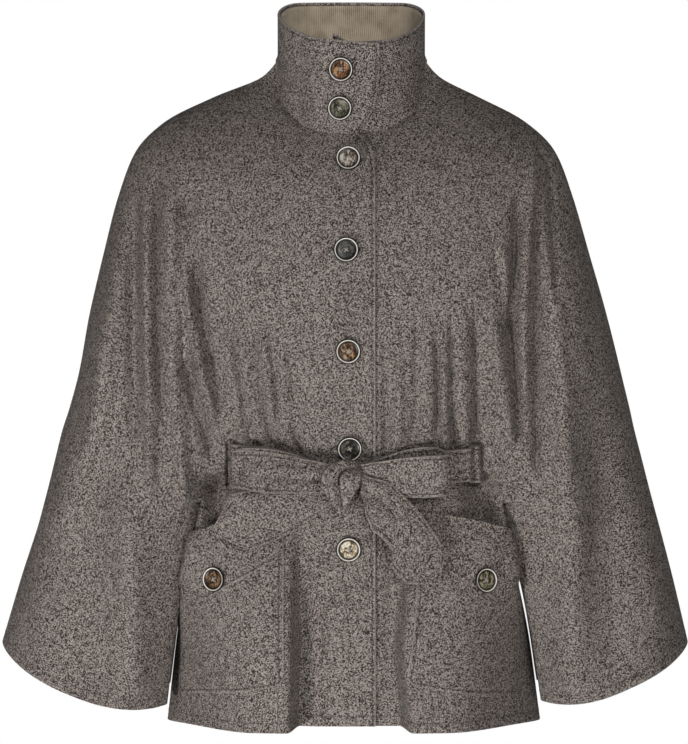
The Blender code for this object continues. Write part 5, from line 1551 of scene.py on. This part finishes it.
def collar_place(x, z):
    """The point of the collar's middle layer at x, z, and the direction out of it."""
    turn = 360 + float(collar_turn(x))
    foot, top = collar_point(turn, 0.0, 0.0), collar_point(turn, 1.0, 0.0)
    share = (z - foot[2]) / (top[2] - foot[2])
    across = collar_point(turn + 5, share, 0.0) - collar_point(turn - 5, share, 0.0)
    out = np.cross(across, top - foot)
    return collar_point(turn, share, 0.0), out / np.linalg.norm(out)


def button_places():
    places = [(*collar_place(x * MM, z * MM), CLOTH / 2 + BUTTON_GAP) for x, z in COLLAR_BUTTONS]
    for x, z in FRONT_BUTTONS:
        point, out = over_front(x * MM, z * MM, 0.0)
        level = out * (1, 1, 0.45)
        sunk = BUTTON_RADIUS * abs(out[2]) * 0.5
        places.append((point, level / np.linalg.norm(level), CLOTH / 2 + BUTTON_GAP + sunk))
    for side, (x, z) in POCKET_BUTTONS.items():
        share = share_at(side, x * MM, z * MM)
        height = float(flap_height(side, share, z * MM)) + POCKET_CLOTH / 2
        point, out = lift(side, share, np.array(z * MM), height)
        places.append((point, out, BUTTON_GAP + 0.3 * MM))
    return places


def on_cloth(place, out, height, spin):
    """The matrix that stands a piece on the cloth."""
    out = Vector(out)
    across = Vector((0, 0, 1)).cross(out).normalized()
    up = out.cross(across)
    across, up = across * math.cos(spin) + up * math.sin(spin), up * math.cos(spin) - across * math.sin(spin)
    matrix = np.eye(4)
    matrix[:3, 0], matrix[:3, 1], matrix[:3, 2], matrix[:3, 3] = across, up, out, Vector(place) + out * height
    return matrix


PLACES = button_places()
bar_points, bar_faces = [], []
for number, ((name, colours), (place, out, height)) in enumerate(zip(HORNS.items(), PLACES)):
    matrix = on_cloth(place, out, height, 0.35 * math.sin(number * 2.3))
    mesh = blank.data.copy()
    local = np.zeros(len(mesh.vertices) * 3)
    mesh.vertices.foreach_get("co", local)
    local = local.reshape(-1, 3)
    corner = np.zeros(len(mesh.loops), np.int32)
    mesh.loops.foreach_get("vertex_index", corner)
    layer = mesh.uv_layers.new(name="cloth")
    layer.data.foreach_set("uv", (local[corner, :2] / BUTTON_RADIUS).ravel())
    mesh.vertices.foreach_set("co", (local @ matrix[:3, :3].T + matrix[:3, 3]).ravel())
    mesh.update()
    mesh.materials.clear()
    mesh.materials.append(horn(name + " horn", *colours, number + 1))
    piece = bpy.data.objects.new(name + "_horn", mesh)
    bpy.context.scene.collection.objects.link(piece)
    wear(piece, "horn", name)
    bar_faces += [tuple(i + len(thread_points) * number for i in face) for face in thread_faces]
    bar_points.append(thread_points @ matrix[:3, :3].T + matrix[:3, 3])
bpy.data.objects.remove(blank)
mesh = bpy.data.meshes.new("button_threads")
mesh.from_pydata(np.concatenate(bar_points).tolist(), [], bar_faces)
mesh.materials.append(PALE_THREAD)
turn_out(mesh)
mesh.shade_smooth()
threads = bpy.data.objects.new("button_threads", mesh)
bpy.context.scene.collection.objects.link(threads)
wear(threads, None)

# %% [markdown]
# ## Stitches
#
# Topstitching runs along every edge of this coat: hems, front edge, collar, pockets, flaps and belt. It is the same
# small stitch thousands of times along a line, which is what Geometry Nodes are for. The tree takes lines of edges,
# cuts each into steps of one pitch, and puts a stitch on each point, turned along the line. A stitch has only two dozen
# faces. Buttonholes are the same tree with short, close stitches.

# %% Stitch tree
PITCH = 3.3 * MM
STITCH_LENGTH = 2.5 * MM
STITCH_THICKNESS = 0.5 * MM


def stitch_tree():
    tree = bpy.data.node_groups.new("stitches on a line", "GeometryNodeTree")
    tree.interface.new_socket("Geometry", in_out="INPUT", socket_type="NodeSocketGeometry")
    for name in ("Pitch", "Length", "Thickness"):
        tree.interface.new_socket(name, in_out="INPUT", socket_type="NodeSocketFloat")
    tree.interface.new_socket("Thread", in_out="INPUT", socket_type="NodeSocketMaterial")
    tree.interface.new_socket("Geometry", in_out="OUTPUT", socket_type="NodeSocketGeometry")

    def add(kind, **settings):
        node = tree.nodes.new(kind)
        for key, value in settings.items():
            setattr(node, key, value)
        return node

    given, result = add("NodeGroupInput"), add("NodeGroupOutput")
    line, steps = add("GeometryNodeMeshToCurve"), add("GeometryNodeResampleCurve", mode="LENGTH")
    ball, size = add("GeometryNodeMeshUVSphere"), add("ShaderNodeCombineXYZ")
    way, turn = add("GeometryNodeInputTangent"), add("FunctionNodeAlignRotationToVector", axis="X")
    copies, real = add("GeometryNodeInstanceOnPoints"), add("GeometryNodeRealizeInstances")
    soft, thread = add("GeometryNodeSetShadeSmooth"), add("GeometryNodeSetMaterial")
    ball.inputs["Segments"].default_value = 6
    ball.inputs["Rings"].default_value = 4
    ball.inputs["Radius"].default_value = 0.5
    for a, b in (
        (given.outputs["Geometry"], line.inputs["Mesh"]), (line.outputs["Curve"], steps.inputs["Curve"]),
        (given.outputs["Pitch"], steps.inputs["Length"]), (given.outputs["Length"], size.inputs["X"]),
        (given.outputs["Thickness"], size.inputs["Y"]), (given.outputs["Thickness"], size.inputs["Z"]),
        (steps.outputs["Curve"], copies.inputs["Points"]), (ball.outputs["Mesh"], copies.inputs["Instance"]),
        (way.outputs["Tangent"], turn.inputs["Vector"]), (turn.outputs["Rotation"], copies.inputs["Rotation"]),
        (size.outputs["Vector"], copies.inputs["Scale"]), (copies.outputs["Instances"], real.inputs["Geometry"]),
        (real.outputs["Geometry"], soft.inputs["Geometry"]), (soft.outputs["Geometry"], thread.inputs["Geometry"]),
        (given.outputs["Thread"], thread.inputs["Material"]), (thread.outputs["Geometry"], result.inputs["Geometry"]),
    ):
        tree.links.new(a, b)
    return tree


STITCHES = stitch_tree()


def sew_on(name, lines, pitch=PITCH, length=STITCH_LENGTH, thickness=STITCH_THICKNESS):
    """Stitches along lines of points, as one piece."""
    points, edges = [], []
    for line in lines:
        edges += [(len(points) + i, len(points) + i + 1) for i in range(len(line) - 1)]
        points += [tuple(p) for p in line]
    mesh = bpy.data.meshes.new(name)
    mesh.from_pydata(points, edges, [])
    piece = bpy.data.objects.new(name, mesh)
    bpy.context.scene.collection.objects.link(piece)
    nodes = piece.modifiers.new("stitches", "NODES")
    nodes.node_group = STITCHES
    values = {"Pitch": pitch, "Length": length, "Thickness": thickness, "Thread": THREAD}
    for item in STITCHES.interface.items_tree:
        if item.in_out == "INPUT" and item.name in values:
            nodes[item.identifier] = values[item.name]
    bake(piece)
    print(name, len(piece.data.polygons), "faces")
    wear(piece, None)


# %% Seams
def front_edge_line():
    rows = FINE_ROWS[(FINE_ROWS > 1.0) & (FINE_ROWS < 27.6)]
    z = np.array([float(read(SECTIONS, "front_z", row)) for row in rows])
    share = np.array([-front_edge(-1, row) + STITCH_INSET / path_length(row) for row in rows])
    return lift(-1, share, z, CLOTH / 2 + THREAD_RISE)[0]


def collar_line():
    inset = STITCH_INSET
    height = 88 * MM
    shares = np.linspace(0.04, 1 - inset / height, 30)
    end = 360 + collar_turn(read(COLLAR_EDGE, "x", shares, "share")) - np.degrees(inset / 73 / MM)
    up = collar_point(end, shares, CLOTH / 2 + THREAD_RISE)
    round_ = collar_point(np.linspace(float(end[-1]), 2, 150), shares[-1], CLOTH / 2 + THREAD_RISE)
    return np.concatenate([up, round_])


def pocket_line(side):
    width, height = pocket_size(side)
    a, b = STITCH_INSET / width, STITCH_INSET / height
    v = np.concatenate([np.linspace(0.03, 1 - b, 50), np.full(48, 1 - b), np.linspace(1 - b, 0.03, 50)])
    u = np.concatenate([np.full(50, a), np.linspace(a, 1 - a, 48), np.full(50, 1 - a)])
    return pocket_points(side, u, v, POCKET_CLOTH / 2 + THREAD_RISE)


def flap_line(side):
    a, b = STITCH_INSET / (95 * MM), STITCH_INSET / (50 * MM)
    v = np.concatenate([np.linspace(0.0, 1 - b, 24), np.full(60, 1 - b), np.linspace(1 - b, 0.0, 24)])
    u = np.concatenate([np.full(24, a), np.linspace(a, 1 - a, 60), np.full(24, 1 - a)])
    return flap_points(side, u, v, POCKET_CLOTH / 2 + THREAD_RISE)


def belt_seams():
    seams = []
    for side in (-1, 1):
        for edge in (-1, 1):
            line = []
            for x in BELT_OUTER_X:
                middle, width = (float(read(BELT_BAND, name, x * MM, "x")) for name in ("z", "width"))
                z = middle + edge * (width / 2 - STITCH_INSET)
                line.append(over_front(side * x * MM, z, BELT_HEIGHT + BELT_CLOTH / 2 + THREAD_RISE)[0])
            seams.append(line)
    for name, (stations, rows, tip, ridges) in STRIPS.items():
        inset = 1 - 2 * STITCH_INSET / (44 * MM)
        shares = np.linspace(0.02, 0.9 if tip else 0.42, rows)
        for edge in (-inset, inset):
            line = strip_points(stations, rows, tip, ridges, np.array([edge]), BELT_CLOTH / 2 + THREAD_RISE, shares)
            seams.append(line[:, 0])
    return seams


sew_on("stitches_hems", [*SEAMS, front_edge_line()])
sew_on("stitches_trim", [collar_line(), *(line(side) for side in (-1, 1) for line in (pocket_line, flap_line))])
sew_on("stitches_belt", belt_seams())

# %% Buttonholes
HOLE_LENGTH = 19 * MM
HOLE_HALF = 0.8 * MM


def buttonhole(points_at, raised):
    """Two close rows and a bar at the far end. points_at gives the cloth's point for a shift in x and z."""
    x = np.linspace(-HOLE_LENGTH, -2 * MM, 24)
    rows = [points_at(x, np.full_like(x, z), raised) for z in (-HOLE_HALF, HOLE_HALF)]
    z = np.linspace(-1.6 * HOLE_HALF, 1.6 * HOLE_HALF, 6)
    return [*rows, points_at(np.full_like(z, -HOLE_LENGTH), z, raised)]


def on_collar(x, z):
    def at(dx, dz, raised):
        places = [collar_place(float(x + a), float(z + b)) for a, b in zip(dx, dz)]
        return np.array([point + out * raised for point, out in places])
    return at


def on_right_front(x, z):
    return lambda dx, dz, raised: over_front(x + dx, z + dz, raised)[0]


holes = []
for x, z in COLLAR_BUTTONS:
    holes += buttonhole(on_collar(x * MM, z * MM), CLOTH / 2 + THREAD_RISE)
for x, z in FRONT_BUTTONS:
    holes += buttonhole(on_right_front(x * MM, z * MM), CLOTH / 2 + THREAD_RISE)
sew_on("buttonholes", holes, 0.75 * MM, 0.95 * MM, 0.7 * MM)
